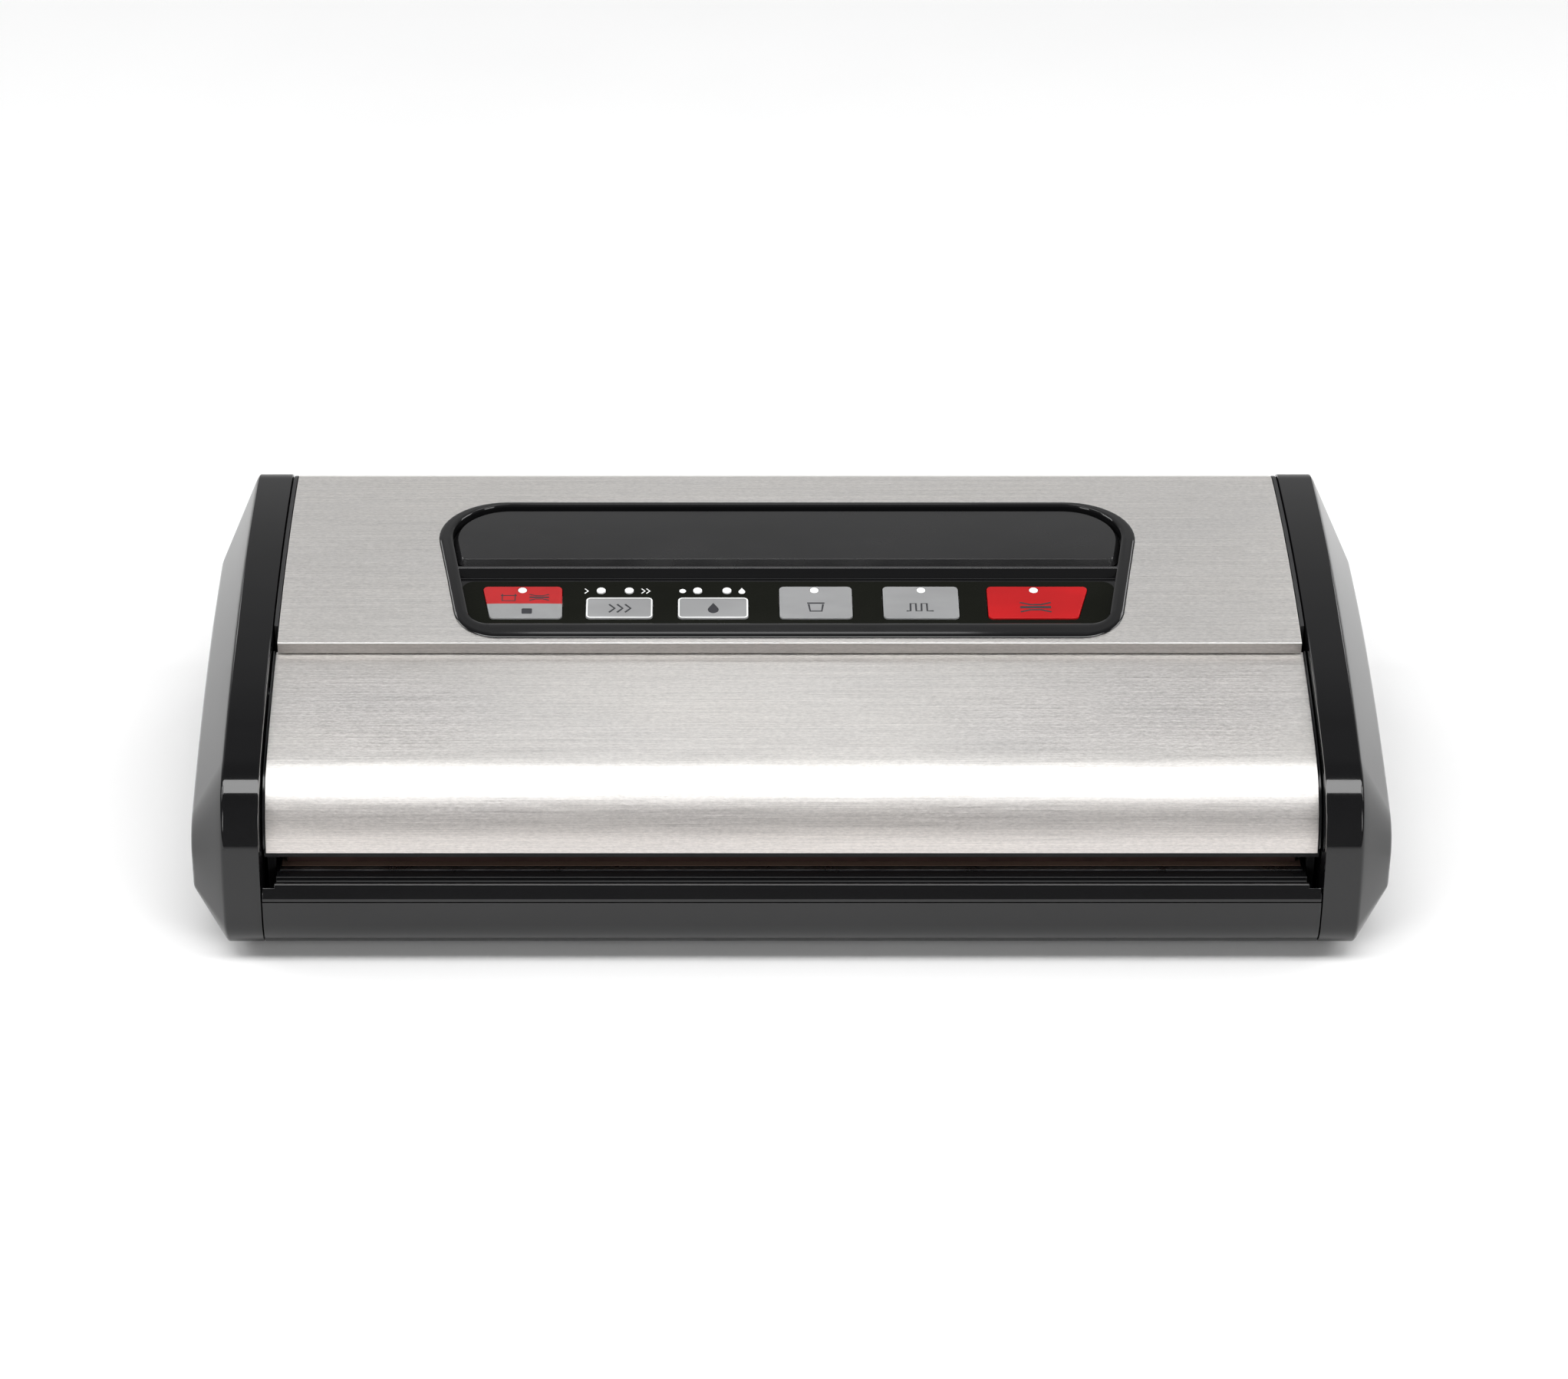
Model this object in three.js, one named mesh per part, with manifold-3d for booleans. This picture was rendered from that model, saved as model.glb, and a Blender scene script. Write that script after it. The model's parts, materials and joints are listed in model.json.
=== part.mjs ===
// Countertop vacuum sealer: a base with a stainless rear panel and keypad, and a hinged front lid.
// Millimetres. +X is the machine's right, +Y its back, +Z up; the origin is on the table, under the centre.
import * as THREE from "three";
import { mergeVertices } from "three/addons/utils/BufferGeometryUtils.js";
import Module from "manifold-3d";

// ---- Driving dimensions -------------------------------------------------------------------------
const HALF_WIDTH = 190; // outermost point of an end cap
const STRIP_OUTER = 178.9; // where an end cap's flat strip turns into its bevel
const CAP_INNER = 167.2; // inner face of an end cap
const BODY_HALF = CAP_INNER - 0.3; // housing between the end caps
const HALF_DEPTH = 91.6;
const FLOOR_Z = 3; // underside of the housing, on its feet

// Side outline, from the nose up and over to the back: tangent arcs
const NOSE_Z = 16.4;
const NOSE_R = 120;
const NOSE_TURN = 168; // angle of the outward normal, from +Y towards +Z, where one arc meets the next
const BROW_R = 29.5;
const BROW_TURN = 106;
const TOP_R = 430;
const BACK_R = 14;
const FOOT_R = 13.4;

// Depth of each skin below the end caps' outline
const REAR_PANEL_INSET = 0.6;
const LID_INSET = 5;
const LID_FRONT_INSET = 8.5;
const LID_BROW_R = 26;
const SHEET = 0.8; // stainless sheet
const WALL = 2.2; // moulded walls
const GAP = 0.3; // between neighbours

const SEAM_Z = 24.4; // joint between the base shell and what stands on it
const LIP = { foot: 25.8, y: -88, z: 28.6, r: 1, rear: -86.4 }; // slanted lip in front of the bag slot
const DECK_Z = 27.5; // deck under the lid
const STEP_Y = -17.4; // front face of the rear panel's fold
const LID_FRONT_Z = 36.4; // lower edge of the lid's sheet
const LID_FLOOR_Z = 33.2; // underside of the lid
const HINGE = { y: -24, z: 58, r: 3 };
const LID_REAR_Y = -16;
const HOUSING_FRONT_Y = -8.8; // wall behind the lid's rear edge

const HEATER = { x: 162.3, y: -72.5, half: 5.4 };
const TROUGH = { x: 150, y0: -54, y1: -29, floor: 14 };
const GASKET = 6.5; // from the trough's rim to the outside of the seal round it
const GASKET_LAND = 1; // from the trough's rim to the seal's groove
const GROOVE = 1.6; // depth of the seal's groove
const TRAY_WALL = 2; // round and under the heater bar
const TRAY_DROP = 4;
const HIGH = 100; // above everything
const PORTS = [{ name: "canister_port", x: 118, mouth: -41 }, { name: "suction_port", x: 138, mouth: -32 }];
const PORT_Z = 19;
const PORT_BACK_Y = -14;
const SWITCH = { x: 160.5, y: -40 };
const LATCH = { x0: 163.6, x1: 166.2, y: -72.4, z: 17 };
const ROD = { y: -66, z: 12, r: 1.5 };

const PANEL_FLOOR = 3; // keypad face below the outline
const KEY_PROUD = 0.4;
const KEY_THICK = 2.4;
const LED_R = 1.5;
const LED_Y = 12.3;

const COLOURS = {
  steel: { color: 0xc9c7c4, roughness: 0.3, metalness: 1 },
  glossBlack: { color: 0x0c0c0d, roughness: 0.12, metalness: 0 },
  mattBlack: { color: 0x1a1a1b, roughness: 0.6, metalness: 0 },
  plateGrey: { color: 0x3c3c3e, roughness: 0.3, metalness: 0 },
  keyGrey: { color: 0x9a9b9d, roughness: 0.4, metalness: 0 },
  keyRed: { color: 0xc41b22, roughness: 0.4, metalness: 0 },
  light: { color: 0xf4f6f4, roughness: 0.3, metalness: 0 },
  rubber: { color: 0x17171a, roughness: 0.85, metalness: 0 },
  silicone: { color: 0x8c2f22, roughness: 0.7, metalness: 0 },
  tape: { color: 0x5a3524, roughness: 0.45, metalness: 0 },
  board: { color: 0x1e5c34, roughness: 0.5, metalness: 0 },
  copper: { color: 0xa45f32, roughness: 0.4, metalness: 1 },
  metal: { color: 0xa8a9ab, roughness: 0.35, metalness: 1 },
  hose: { color: 0xd8d8cf, roughness: 0.5, metalness: 0 },
};

// ---- Solids -------------------------------------------------------------------------------------
const wasm = await Module();
wasm.setup();

function solid(geometry, matrix) {
  const flat = geometry.index ? geometry.toNonIndexed() : geometry.clone();
  flat.deleteAttribute("normal");
  flat.deleteAttribute("uv");
  if (matrix) flat.applyMatrix4(matrix);
  const merged = mergeVertices(flat, 1e-4);
  return new wasm.Manifold(
    new wasm.Mesh({
      numProp: 3,
      vertProperties: merged.attributes.position.array,
      triVerts: new Uint32Array(merged.index.array),
    }),
  );
}

const counterClockwise = (points) =>
  THREE.ShapeUtils.area(points.map(([a, b]) => new THREE.Vector2(a, b))) > 0
    ? points
    : [...points].reverse();

function extrude(points, depth, matrix) {
  const shape = new THREE.Shape(counterClockwise(points).map(([a, b]) => new THREE.Vector2(a, b)));
  return solid(new THREE.ExtrudeGeometry(shape, { depth, bevelEnabled: false }), matrix);
}

// Outlines drawn in YZ run along X, in XY along Z, and in XZ along Y.
const basis = (a, b, c, x, y, z) => new THREE.Matrix4().makeBasis(a, b, c).setPosition(x, y, z);
const X = new THREE.Vector3(1, 0, 0);
const Y = new THREE.Vector3(0, 1, 0);
const Z = new THREE.Vector3(0, 0, 1);
const alongX = (points, x0, x1) => extrude(points, x1 - x0, basis(Y, Z, X, x0, 0, 0));
const alongZ = (points, z0, z1) => extrude(points, z1 - z0, basis(X, Y, Z, 0, 0, z0));
const alongY = (points, y0, y1) =>
  extrude(points, y1 - y0, basis(X, Z, Y.clone().negate(), 0, y1, 0));

const rectangle = (a0, a1, b0, b1) => [[a0, b0], [a1, b0], [a1, b1], [a0, b1]];
const box = (x0, x1, y0, y1, z0, z1) => alongZ(rectangle(x0, x1, y0, y1), z0, z1);
const union = (solids) => solids.reduce((sum, s) => sum.add(s));
const cut = (body, tools) => tools.reduce((rest, tool) => rest.subtract(tool), body);

function circle(r, a, b, sides = 20) {
  const turn = (2 * Math.PI) / sides;
  return Array.from({ length: sides }, (_, i) => [
    a + r * Math.cos((i + 0.5) * turn),
    b + r * Math.sin((i + 0.5) * turn),
  ]);
}
const rodX = (r, y, z, x0, x1, sides) => alongX(circle(r, y, z, sides), x0, x1);
const rodY = (r, x, z, y0, y1, sides) => alongY(circle(r, x, z, sides), y0, y1);
const rodZ = (r, x, y, z0, z1, sides) => alongZ(circle(r, x, y, sides), z0, z1);

// Points of an arc about (a, b), angles in degrees
function arc(a, b, r, from, to, steps) {
  return Array.from({ length: steps + 1 }, (_, i) => {
    const t = ((from + ((to - from) * i) / steps) * Math.PI) / 180;
    return [a + r * Math.cos(t), b + r * Math.sin(t)];
  });
}

// A polygon whose corners [a, b, radius] are rounded
function rounded(corners, steps = 4) {
  return corners.flatMap(([a, b, r], i) => {
    const [pa, pb] = corners.at(i - 1);
    const [na, nb] = corners[(i + 1) % corners.length];
    const p = new THREE.Vector2(a, b);
    if (!r) return [[a, b]];
    const u = new THREE.Vector2(pa - a, pb - b).normalize();
    const v = new THREE.Vector2(na - a, nb - b).normalize();
    const half = Math.acos(THREE.MathUtils.clamp(u.dot(v), -1, 1)) / 2;
    const centre = p.clone().addScaledVector(u.clone().add(v).normalize(), r / Math.sin(half));
    const start = p.clone().addScaledVector(u, r / Math.tan(half)).sub(centre).angle();
    const end = p.clone().addScaledVector(v, r / Math.tan(half)).sub(centre).angle();
    let sweep = end - start;
    if (sweep > Math.PI) sweep -= 2 * Math.PI;
    if (sweep < -Math.PI) sweep += 2 * Math.PI;
    const deg = 180 / Math.PI;
    return arc(centre.x, centre.y, r, start * deg, (start + sweep) * deg, steps);
  });
}
const roundBox = (a0, a1, b0, b1, r, steps) =>
  rounded([[a0, b0, r], [a1, b0, r], [a1, b1, r], [a0, b1, r]], steps);

// ---- Side outline -------------------------------------------------------------------------------
const polar = (deg) => [Math.cos((deg * Math.PI) / 180), Math.sin((deg * Math.PI) / 180)];
const NOSE = [NOSE_R - HALF_DEPTH, NOSE_Z];
const BROW = NOSE.map((v, i) => v + (NOSE_R - BROW_R) * polar(NOSE_TURN)[i]);
const TOP = BROW.map((v, i) => v + (BROW_R - TOP_R) * polar(BROW_TURN)[i]);
const BACK = [HALF_DEPTH - BACK_R, 0];
BACK[1] = TOP[1] + Math.sqrt((TOP_R - BACK_R) ** 2 - (BACK[0] - TOP[0]) ** 2);
const BACK_TURN = (Math.atan2(BACK[1] - TOP[1], BACK[0] - TOP[0]) * 180) / Math.PI;

// Height of the outline's top, less an inset, at a given Y
const topAt = (y, inset = 0) => TOP[1] + Math.sqrt((TOP_R - inset) ** 2 - (y - TOP[0]) ** 2);
const turnAt = (y, inset = 0) => (Math.acos((y - TOP[0]) / (TOP_R - inset)) * 180) / Math.PI;
// Angle on the nose arc at a given height
const noseTurnAt = (z, inset = 0) =>
  180 - (Math.asin((z - NOSE_Z) / (NOSE_R - inset)) * 180) / Math.PI;

// The top from one Y to another, back to front
const topArc = (y0, y1, inset, steps) =>
  arc(TOP[0], TOP[1], TOP_R - inset, turnAt(y0, inset), turnAt(y1, inset), steps);
// The lid's own brow: an arc tangent to the lid's top and to its front, which lies deeper
const angleTo = (from, to) => (Math.atan2(to[1] - from[1], to[0] - from[0]) * 180) / Math.PI;
const apart = (p, q) => Math.hypot(p[0] - q[0], p[1] - q[1]);
const LID_BROW = (() => {
  const fromTop = TOP_R - LID_INSET - LID_BROW_R;
  const fromNose = NOSE_R - LID_FRONT_INSET - LID_BROW_R;
  const between = apart(TOP, NOSE);
  const turn = Math.acos((fromTop ** 2 + between ** 2 - fromNose ** 2) / (2 * fromTop * between));
  const [c, d] = polar(angleTo(TOP, NOSE) + (turn * 180) / Math.PI);
  return [TOP[0] + fromTop * c, TOP[1] + fromTop * d];
})();
// The lid's skin from its rear edge to a height on its front, at a depth below its surface
const lidSkin = (rearY, footZ, depth) => {
  const top = LID_INSET + depth;
  const front = LID_FRONT_INSET + depth;
  const topEnd = angleTo(TOP, LID_BROW);
  const frontStart = angleTo(NOSE, LID_BROW);
  return [
    ...arc(...TOP, TOP_R - top, turnAt(rearY, top), topEnd, 5),
    ...arc(...LID_BROW, LID_BROW_R - depth, topEnd, frontStart, 8).slice(1),
    ...arc(...NOSE, NOSE_R - front, frontStart, noseTurnAt(footZ, front), 2).slice(1),
  ];
};

// The part of a plan outline between two depths below the top outline
function layer(plan, upper, lower) {
  const ys = plan.map((p) => p[1]);
  const y0 = Math.min(...ys) - 1;
  const y1 = Math.max(...ys) + 1;
  const xs = plan.map((p) => p[0]);
  const steps = Math.max(1, Math.round((y1 - y0) / 12));
  const band = [...topArc(y1, y0, upper, steps), ...topArc(y0, y1, lower, steps)];
  const slab = alongX(band, Math.min(...xs) - 1, Math.max(...xs) + 1);
  return alongZ(plan, 40, 100).intersect(slab);
}

// ---- Scene graph --------------------------------------------------------------------------------
const sealer = new THREE.Group();

function add(name, body, finish, parent = sealer) {
  const made = body.getMesh();
  const geometry = new THREE.BufferGeometry();
  geometry.setAttribute("position", new THREE.BufferAttribute(made.vertProperties, 3));
  geometry.setIndex(new THREE.BufferAttribute(made.triVerts, 1));
  const material = new THREE.MeshStandardMaterial({ ...COLOURS[finish], flatShading: true });
  const mesh = new THREE.Mesh(geometry, material);
  mesh.name = name;
  parent.add(mesh);
}
const SIDES = { left: -1, right: 1 };
// Extrude along X between two distances from the middle, on one side
const sideX = (points, side, near, far) =>
  side > 0 ? alongX(points, near, far) : alongX(points, -far, -near);

// ---- End caps -----------------------------------------------------------------------------------
// Outline of an end cap at its strip, and the smaller one that its bevel runs in to
function stripOutline(inset = 0) {
  return [
    ...arc(HALF_DEPTH - FOOT_R, FLOOR_Z + FOOT_R, FOOT_R - inset, -90, 0, 3),
    ...arc(BACK[0], BACK[1], BACK_R - inset, 0, BACK_TURN, 6),
    ...arc(TOP[0], TOP[1], TOP_R - inset, BACK_TURN, BROW_TURN, 10).slice(1),
    ...arc(BROW[0], BROW[1], BROW_R - inset, BROW_TURN, NOSE_TURN, 8).slice(1),
    ...arc(NOSE[0], NOSE[1], NOSE_R - inset, NOSE_TURN, 180, 2).slice(1),
    ...arc(FOOT_R - HALF_DEPTH, FLOOR_Z + FOOT_R, FOOT_R - inset, 180, 270, 3).slice(1),
  ];
}
const BEVEL = { drop: 19.5, front: 14.6, rise: 16, rearTop: 36, rearFoot: 18, r: 3, browR: 12, slant: 22 };
function bevelOutline(inset = 0) {
  const topR = TOP_R - BEVEL.drop;
  const frontY = BEVEL.front - HALF_DEPTH;
  const browTurn = (Math.acos((frontY + BEVEL.browR - TOP[0]) / (topR - BEVEL.browR)) * 180) / Math.PI;
  const brow = TOP.map((v, i) => v + (topR - BEVEL.browR) * polar(browTurn)[i]);
  const low = FLOOR_Z + BEVEL.rise + BEVEL.r;
  const rearY = HALF_DEPTH - BEVEL.rearTop - BEVEL.r;
  const rearZ = topAt(rearY, BEVEL.drop + BEVEL.r);
  const r = BEVEL.r - inset;
  return [
    ...arc(HALF_DEPTH - BEVEL.rearFoot - BEVEL.r, low, r, -90, BEVEL.slant, 3),
    ...arc(rearY, rearZ, r, BEVEL.slant, turnAt(rearY, BEVEL.drop), 6),
    ...arc(TOP[0], TOP[1], topR - inset, turnAt(rearY, BEVEL.drop), browTurn, 10).slice(1),
    ...arc(brow[0], brow[1], BEVEL.browR - inset, browTurn, 180, 8).slice(1),
    [frontY + inset, (brow[1] + low) / 2], [frontY + inset, low],
    ...arc(frontY + BEVEL.r, low, r, 180, 270, 3).slice(1),
  ];
}

// A closed loft through outlines of equal length, each at its own X
function loft(sections, side) {
  const n = sections[0].points.length;
  const position = sections.flatMap(({ x, points }) => points.flatMap(([y, z]) => [side * x, y, z]));
  const index = [];
  const quad = (a, b, c, d) => index.push(a, b, c, a, c, d);
  for (let s = 0; s < sections.length - 1; s += 1)
    for (let i = 0; i < n; i += 1) {
      const j = (i + 1) % n;
      quad(s * n + i, s * n + j, (s + 1) * n + j, (s + 1) * n + i);
    }
  const face = (s, flip) => {
    const contour = sections[s].points.map(([a, b]) => new THREE.Vector2(a, b));
    for (const [a, b, c] of THREE.ShapeUtils.triangulateShape(contour, []))
      index.push(s * n + a, s * n + (flip ? c : b), s * n + (flip ? b : c));
  };
  face(0, true);
  face(sections.length - 1, false);
  if (side < 0) for (let i = 0; i < index.length; i += 3) [index[i], index[i + 1]] = [index[i + 1], index[i]];
  const geometry = new THREE.BufferGeometry();
  geometry.setAttribute("position", new THREE.Float32BufferAttribute(position, 3));
  geometry.setIndex(index);
  return solid(geometry);
}

for (const [name, side] of Object.entries(SIDES)) {
  const strip = stripOutline();
  const inner = stripOutline(WALL);
  const shell = loft(
    [
      { x: CAP_INNER, points: strip },
      { x: STRIP_OUTER, points: strip },
      { x: HALF_WIDTH, points: bevelOutline() },
    ],
    side,
  );
  const hollow = loft(
    [
      { x: CAP_INNER + WALL, points: inner },
      { x: STRIP_OUTER - 1, points: inner },
      { x: HALF_WIDTH - WALL, points: bevelOutline(WALL) },
    ],
    side,
  );
  const window = sideX(roundBox(10, 75, 12, 60, 5, 2), side, CAP_INNER - 1, CAP_INNER + WALL + 1);
  const bushHole = sideX(circle(5.3, HINGE.y, HINGE.z), side, CAP_INNER - 1, CAP_INNER + WALL + 1);
  add(name + "_end_cap", cut(shell, [hollow, window, bushHole]), "glossBlack");
  const bush = sideX(circle(5, HINGE.y, HINGE.z), side, CAP_INNER + 0.1, CAP_INNER + 4);
  const pinHole = sideX(circle(HINGE.r + 0.2, HINGE.y, HINGE.z), side, CAP_INNER - 1, CAP_INNER + 5);
  add(name + "_hinge_bush", bush.subtract(pinHole), "mattBlack");
}

// ---- Base shell, feet and screws ----------------------------------------------------------------
const lowerOutline = (inset, top) => [
  [HALF_DEPTH - inset, top],
  ...arc(HALF_DEPTH - FOOT_R, FLOOR_Z + FOOT_R, FOOT_R - inset, 0, -90, 4),
  ...arc(FOOT_R - HALF_DEPTH, FLOOR_Z + FOOT_R, FOOT_R - inset, 270, 180, 4),
  [NOSE[0] + (NOSE_R - inset) * polar(noseTurnAt(top, inset))[0], top],
];
const FOOT = { x: 150, y: 68, r: 8 };
const SCREW = { x: 128, y: 74 };
const CORNERS = [-1, 1].flatMap((sx) => [-1, 1].map((sy) => [sx, sy]));
const VENTS = 7;
const baseShell = () => {
  const tub = alongX(lowerOutline(0, SEAM_Z), -BODY_HALF, BODY_HALF);
  const inside = alongX(lowerOutline(WALL, SEAM_Z + 1), WALL - BODY_HALF, BODY_HALF - WALL);
  const bosses = CORNERS.map(([sx, sy]) => rodZ(3.6, sx * SCREW.x, sy * SCREW.y, 4, 20, 12));
  const holes = CORNERS.flatMap(([sx, sy]) => [
    rodZ(2.9, sx * FOOT.x, sy * FOOT.y, 0, 8, 12),
    rodZ(1.9, sx * SCREW.x, sy * SCREW.y, 0, 30, 12),
    rodZ(3.4, sx * SCREW.x, sy * SCREW.y, 0, 6, 12),
  ]);
  const vents = Array.from({ length: VENTS }, (_, i) => box(60 + 8 * i, 63 + 8 * i, 20, 56, 0, 8));
  const bearings = [-100, 100].map((x) => box(x - 1, x + 1, ROD.y - 4, ROD.y + 4, 4, ROD.z + 4));
  const shaftWay = rodX(ROD.r + 0.3, ROD.y, ROD.z, -110, 110, 12);
  const notchPlan = rectangle(-86.5, -61, 8, 60);
  const notches = [-1, 1].map((side) => sideX(notchPlan, side, LATCH.x0 - 0.5, BODY_HALF + 1));
  const body = union([cut(tub, [inside]), ...bosses, ...bearings]);
  return cut(body, [...holes, ...vents, shaftWay, ...notches]);
};
add("base_shell", baseShell(), "glossBlack");

CORNERS.forEach(([sx, sy]) => {
  const place = (sy < 0 ? "front_" : "rear_") + (sx < 0 ? "left" : "right");
  const pad = rodZ(FOOT.r, sx * FOOT.x, sy * FOOT.y, 0, FLOOR_Z - GAP, 24);
  add(place + "_foot", pad.add(rodZ(2.5, sx * FOOT.x, sy * FOOT.y, 1, 7, 12)), "rubber");
  const head = rodZ(3, sx * SCREW.x, sy * SCREW.y, 3.4, 5.6, 12);
  add(place + "_screw", head.add(rodZ(1.5, sx * SCREW.x, sy * SCREW.y, 5, 18, 8)), "metal");
});

// ---- Deck under the lid: bag lip, seal channel and vacuum trough --------------------------------
const noseAt = (z, inset = 0) => NOSE[0] + (NOSE_R - inset) * polar(noseTurnAt(z, inset))[0];
const RIB_Y = -82.6;
const deck = () => {
  const bottom = DECK_Z - WALL;
  const profile = [
    [noseAt(SEAM_Z + GAP), SEAM_Z + GAP],
    [noseAt(LIP.foot), LIP.foot],
    ...arc(LIP.y, LIP.z, LIP.r, 150, 60, 4),
    [LIP.rear, DECK_Z], [RIB_Y - 0.8, DECK_Z], [RIB_Y - 0.5, DECK_Z + 1],
    [RIB_Y + 0.5, DECK_Z + 1], [RIB_Y + 0.8, DECK_Z], [HOUSING_FRONT_Y - GAP, DECK_Z],
    [HOUSING_FRONT_Y - GAP, SEAM_Z + GAP],
  ];
  const slab = alongX(profile, -BODY_HALF, BODY_HALF);
  const trayPlan = aroundHeater(HEATER.x + TRAY_WALL, HEATER.half + TRAY_WALL);
  const tray = alongZ(trayPlan, SEAM_Z - TRAY_DROP, bottom + 1).intersect(
    alongX(lowerOutline(WALL + 1, DECK_Z + 1), -LATCH.x0, LATCH.x0),
  );
  const channel = alongZ(aroundHeater(HEATER.x + GAP, HEATER.half + GAP), SEAM_Z - TRAY_DROP / 2, HIGH);
  const outerRing = alongZ(aroundTrough(GASKET), DECK_Z - GROOVE, HIGH);
  const groove = outerRing.subtract(alongZ(aroundTrough(GASKET_LAND), 0, HIGH));
  const trough = alongZ(aroundTrough(0), 0, HIGH);
  const notchPlan = rectangle(-89.2, -61, 0, HIGH);
  const notches = Object.values(SIDES).map((side) => sideX(notchPlan, side, LATCH.x0 - 0.5, HALF_WIDTH));
  const plungerHole = rodZ(1.9, -SWITCH.x, SWITCH.y, 0, HIGH, 12);
  return cut(slab.add(tray), [groove, channel, trough, ...notches, plungerHole]);
};
const aroundHeater = (x, half) => rectangle(-x, x, HEATER.y - half, HEATER.y + half);
function aroundTrough(grow, r = 0) {
  const x = TROUGH.x + grow;
  return roundBox(-x, x, TROUGH.y0 - grow, TROUGH.y1 + grow, r);
}
const ring = (inset, z0, z1) => {
  const outer = alongZ(aroundTrough(GASKET - inset, 7), z0, z1);
  return outer.subtract(alongZ(aroundTrough(GASKET_LAND + inset), z0 - 1, z1 + 1));
};
add("lower_deck", deck(), "glossBlack");

// Trough: an open pan closed against the deck's underside, round the opening
const TROUGH_WALL = 4;
const troughPan = () => {
  const { y1, floor } = TROUGH;
  const pan = alongZ(aroundTrough(TROUGH_WALL), floor - WALL, SEAM_Z);
  const inside = alongZ(aroundTrough(0), floor, HIGH);
  const ports = PORTS.map((port) => rodY(3.3, port.x, PORT_Z, y1 - 1, y1 + TROUGH_WALL + 1, 16));
  return cut(pan, [inside, ...ports]);
};
add("trough_pan", troughPan(), "mattBlack");
add("lower_gasket", ring(GAP, DECK_Z - 1.2, DECK_Z + 2), "rubber");

const strip = (x, half, z0, z1) => alongZ(aroundHeater(x, half), z0, z1);
add("heater_bar", strip(HEATER.x, HEATER.half, SEAM_Z - 1.6, DECK_Z + 0.2), "metal");
add("heating_element", strip(153.5, 2.2, DECK_Z + 0.5, DECK_Z + 0.8), "copper");
add("ptfe_tape", strip(161.6, 4.6, DECK_Z + 1.1, DECK_Z + 1.4), "tape");

// Nozzles through the pan's back wall: one feeds a canister hose, one takes the air to the pump
for (const { name, x, mouth } of PORTS) {
  const flangeY = TROUGH.y1 + TROUGH_WALL + GAP;
  const flange = rodY(5.2, x, PORT_Z, flangeY, flangeY + 1.8, 16);
  const tube = rodY(3, x, PORT_Z, mouth, PORT_BACK_Y, 16);
  add(name, flange.add(tube).subtract(rodY(1.7, x, PORT_Z, mouth - 1, PORT_BACK_Y + 1, 12)), "mattBlack");
}

// ---- Rear housing, its steel panel and the mains inlet ------------------------------------------
const INLET = { x: -120, z: 42, w: 23, h: 14 };
const REAR_PANEL_X = 165.3;
const aroundInlet = (w, h, r) =>
  roundBox(INLET.x - w / 2, INLET.x + w / 2, INLET.z - h / 2, INLET.z + h / 2, r, 3);
const housing = () => {
  const skin = REAR_PANEL_INSET + SHEET + GAP;
  const side = (inset, front, foot) => [
    [HALF_DEPTH - inset, foot],
    ...arc(BACK[0], BACK[1], BACK_R - inset, 0, BACK_TURN, 6),
    ...topArc(BACK[0] - 4, front, inset, 6),
    [front, foot],
  ];
  const outer = alongX(side(skin, HOUSING_FRONT_Y, SEAM_Z + GAP), -BODY_HALF, BODY_HALF);
  const rim = cut(alongX(side(REAR_PANEL_INSET, STEP_Y + 4, SEAM_Z + GAP), -BODY_HALF, BODY_HALF), [
    box(-REAR_PANEL_X - GAP, REAR_PANEL_X + GAP, -40, 100, 0, 100),
  ]);
  const rimTop = rim.intersect(box(-200, 200, HOUSING_FRONT_Y, 100, 0, 100));
  const wall = box(-BODY_HALF, BODY_HALF, BACK[0], HALF_DEPTH, SEAM_Z + GAP, BACK[1] - 2);
  const rearWall = wall.intersect(alongX(side(0, 0, SEAM_Z + GAP), -BODY_HALF, BODY_HALF));
  const hollow = side(skin + WALL, HOUSING_FRONT_Y + WALL, 0);
  const inside = alongX(hollow, WALL - BODY_HALF, BODY_HALF - WALL);
  const opening = alongZ(bezelPlan(1.6), 69.5, 100);
  const inlet = alongY(aroundInlet(INLET.w, INLET.h, 0), 70, 100);
  const vents = Array.from({ length: VENTS }, (_, i) => box(70 + 9 * i, 74 + 9 * i, 70, 100, 34, 52));
  return cut(union([outer, rimTop, rearWall]), [inside, opening, inlet, ...vents]);
};

// Plan of the keypad surround: a long form that narrows towards the front
const BEZEL = { back: 61.5, front: -15, wide: 119.4, narrow: 107.0, rFront: 15, rBack: 22 };
const bezelHalf = (y) =>
  THREE.MathUtils.lerp(BEZEL.narrow, BEZEL.wide, (y - BEZEL.front) / (BEZEL.back - BEZEL.front));
function bezelPlan(inset) {
  const b = BEZEL.back - inset;
  const f = BEZEL.front + inset;
  const [xf, xb] = [f, b].map((y) => bezelHalf(y) - inset);
  const [rf, rb] = [BEZEL.rFront, BEZEL.rBack].map((r) => Math.max(r - inset, 3));
  return rounded([[-xf, f, rf], [xf, f, rf], [xb, b, rb], [-xb, b, rb]], 5);
}

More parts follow.
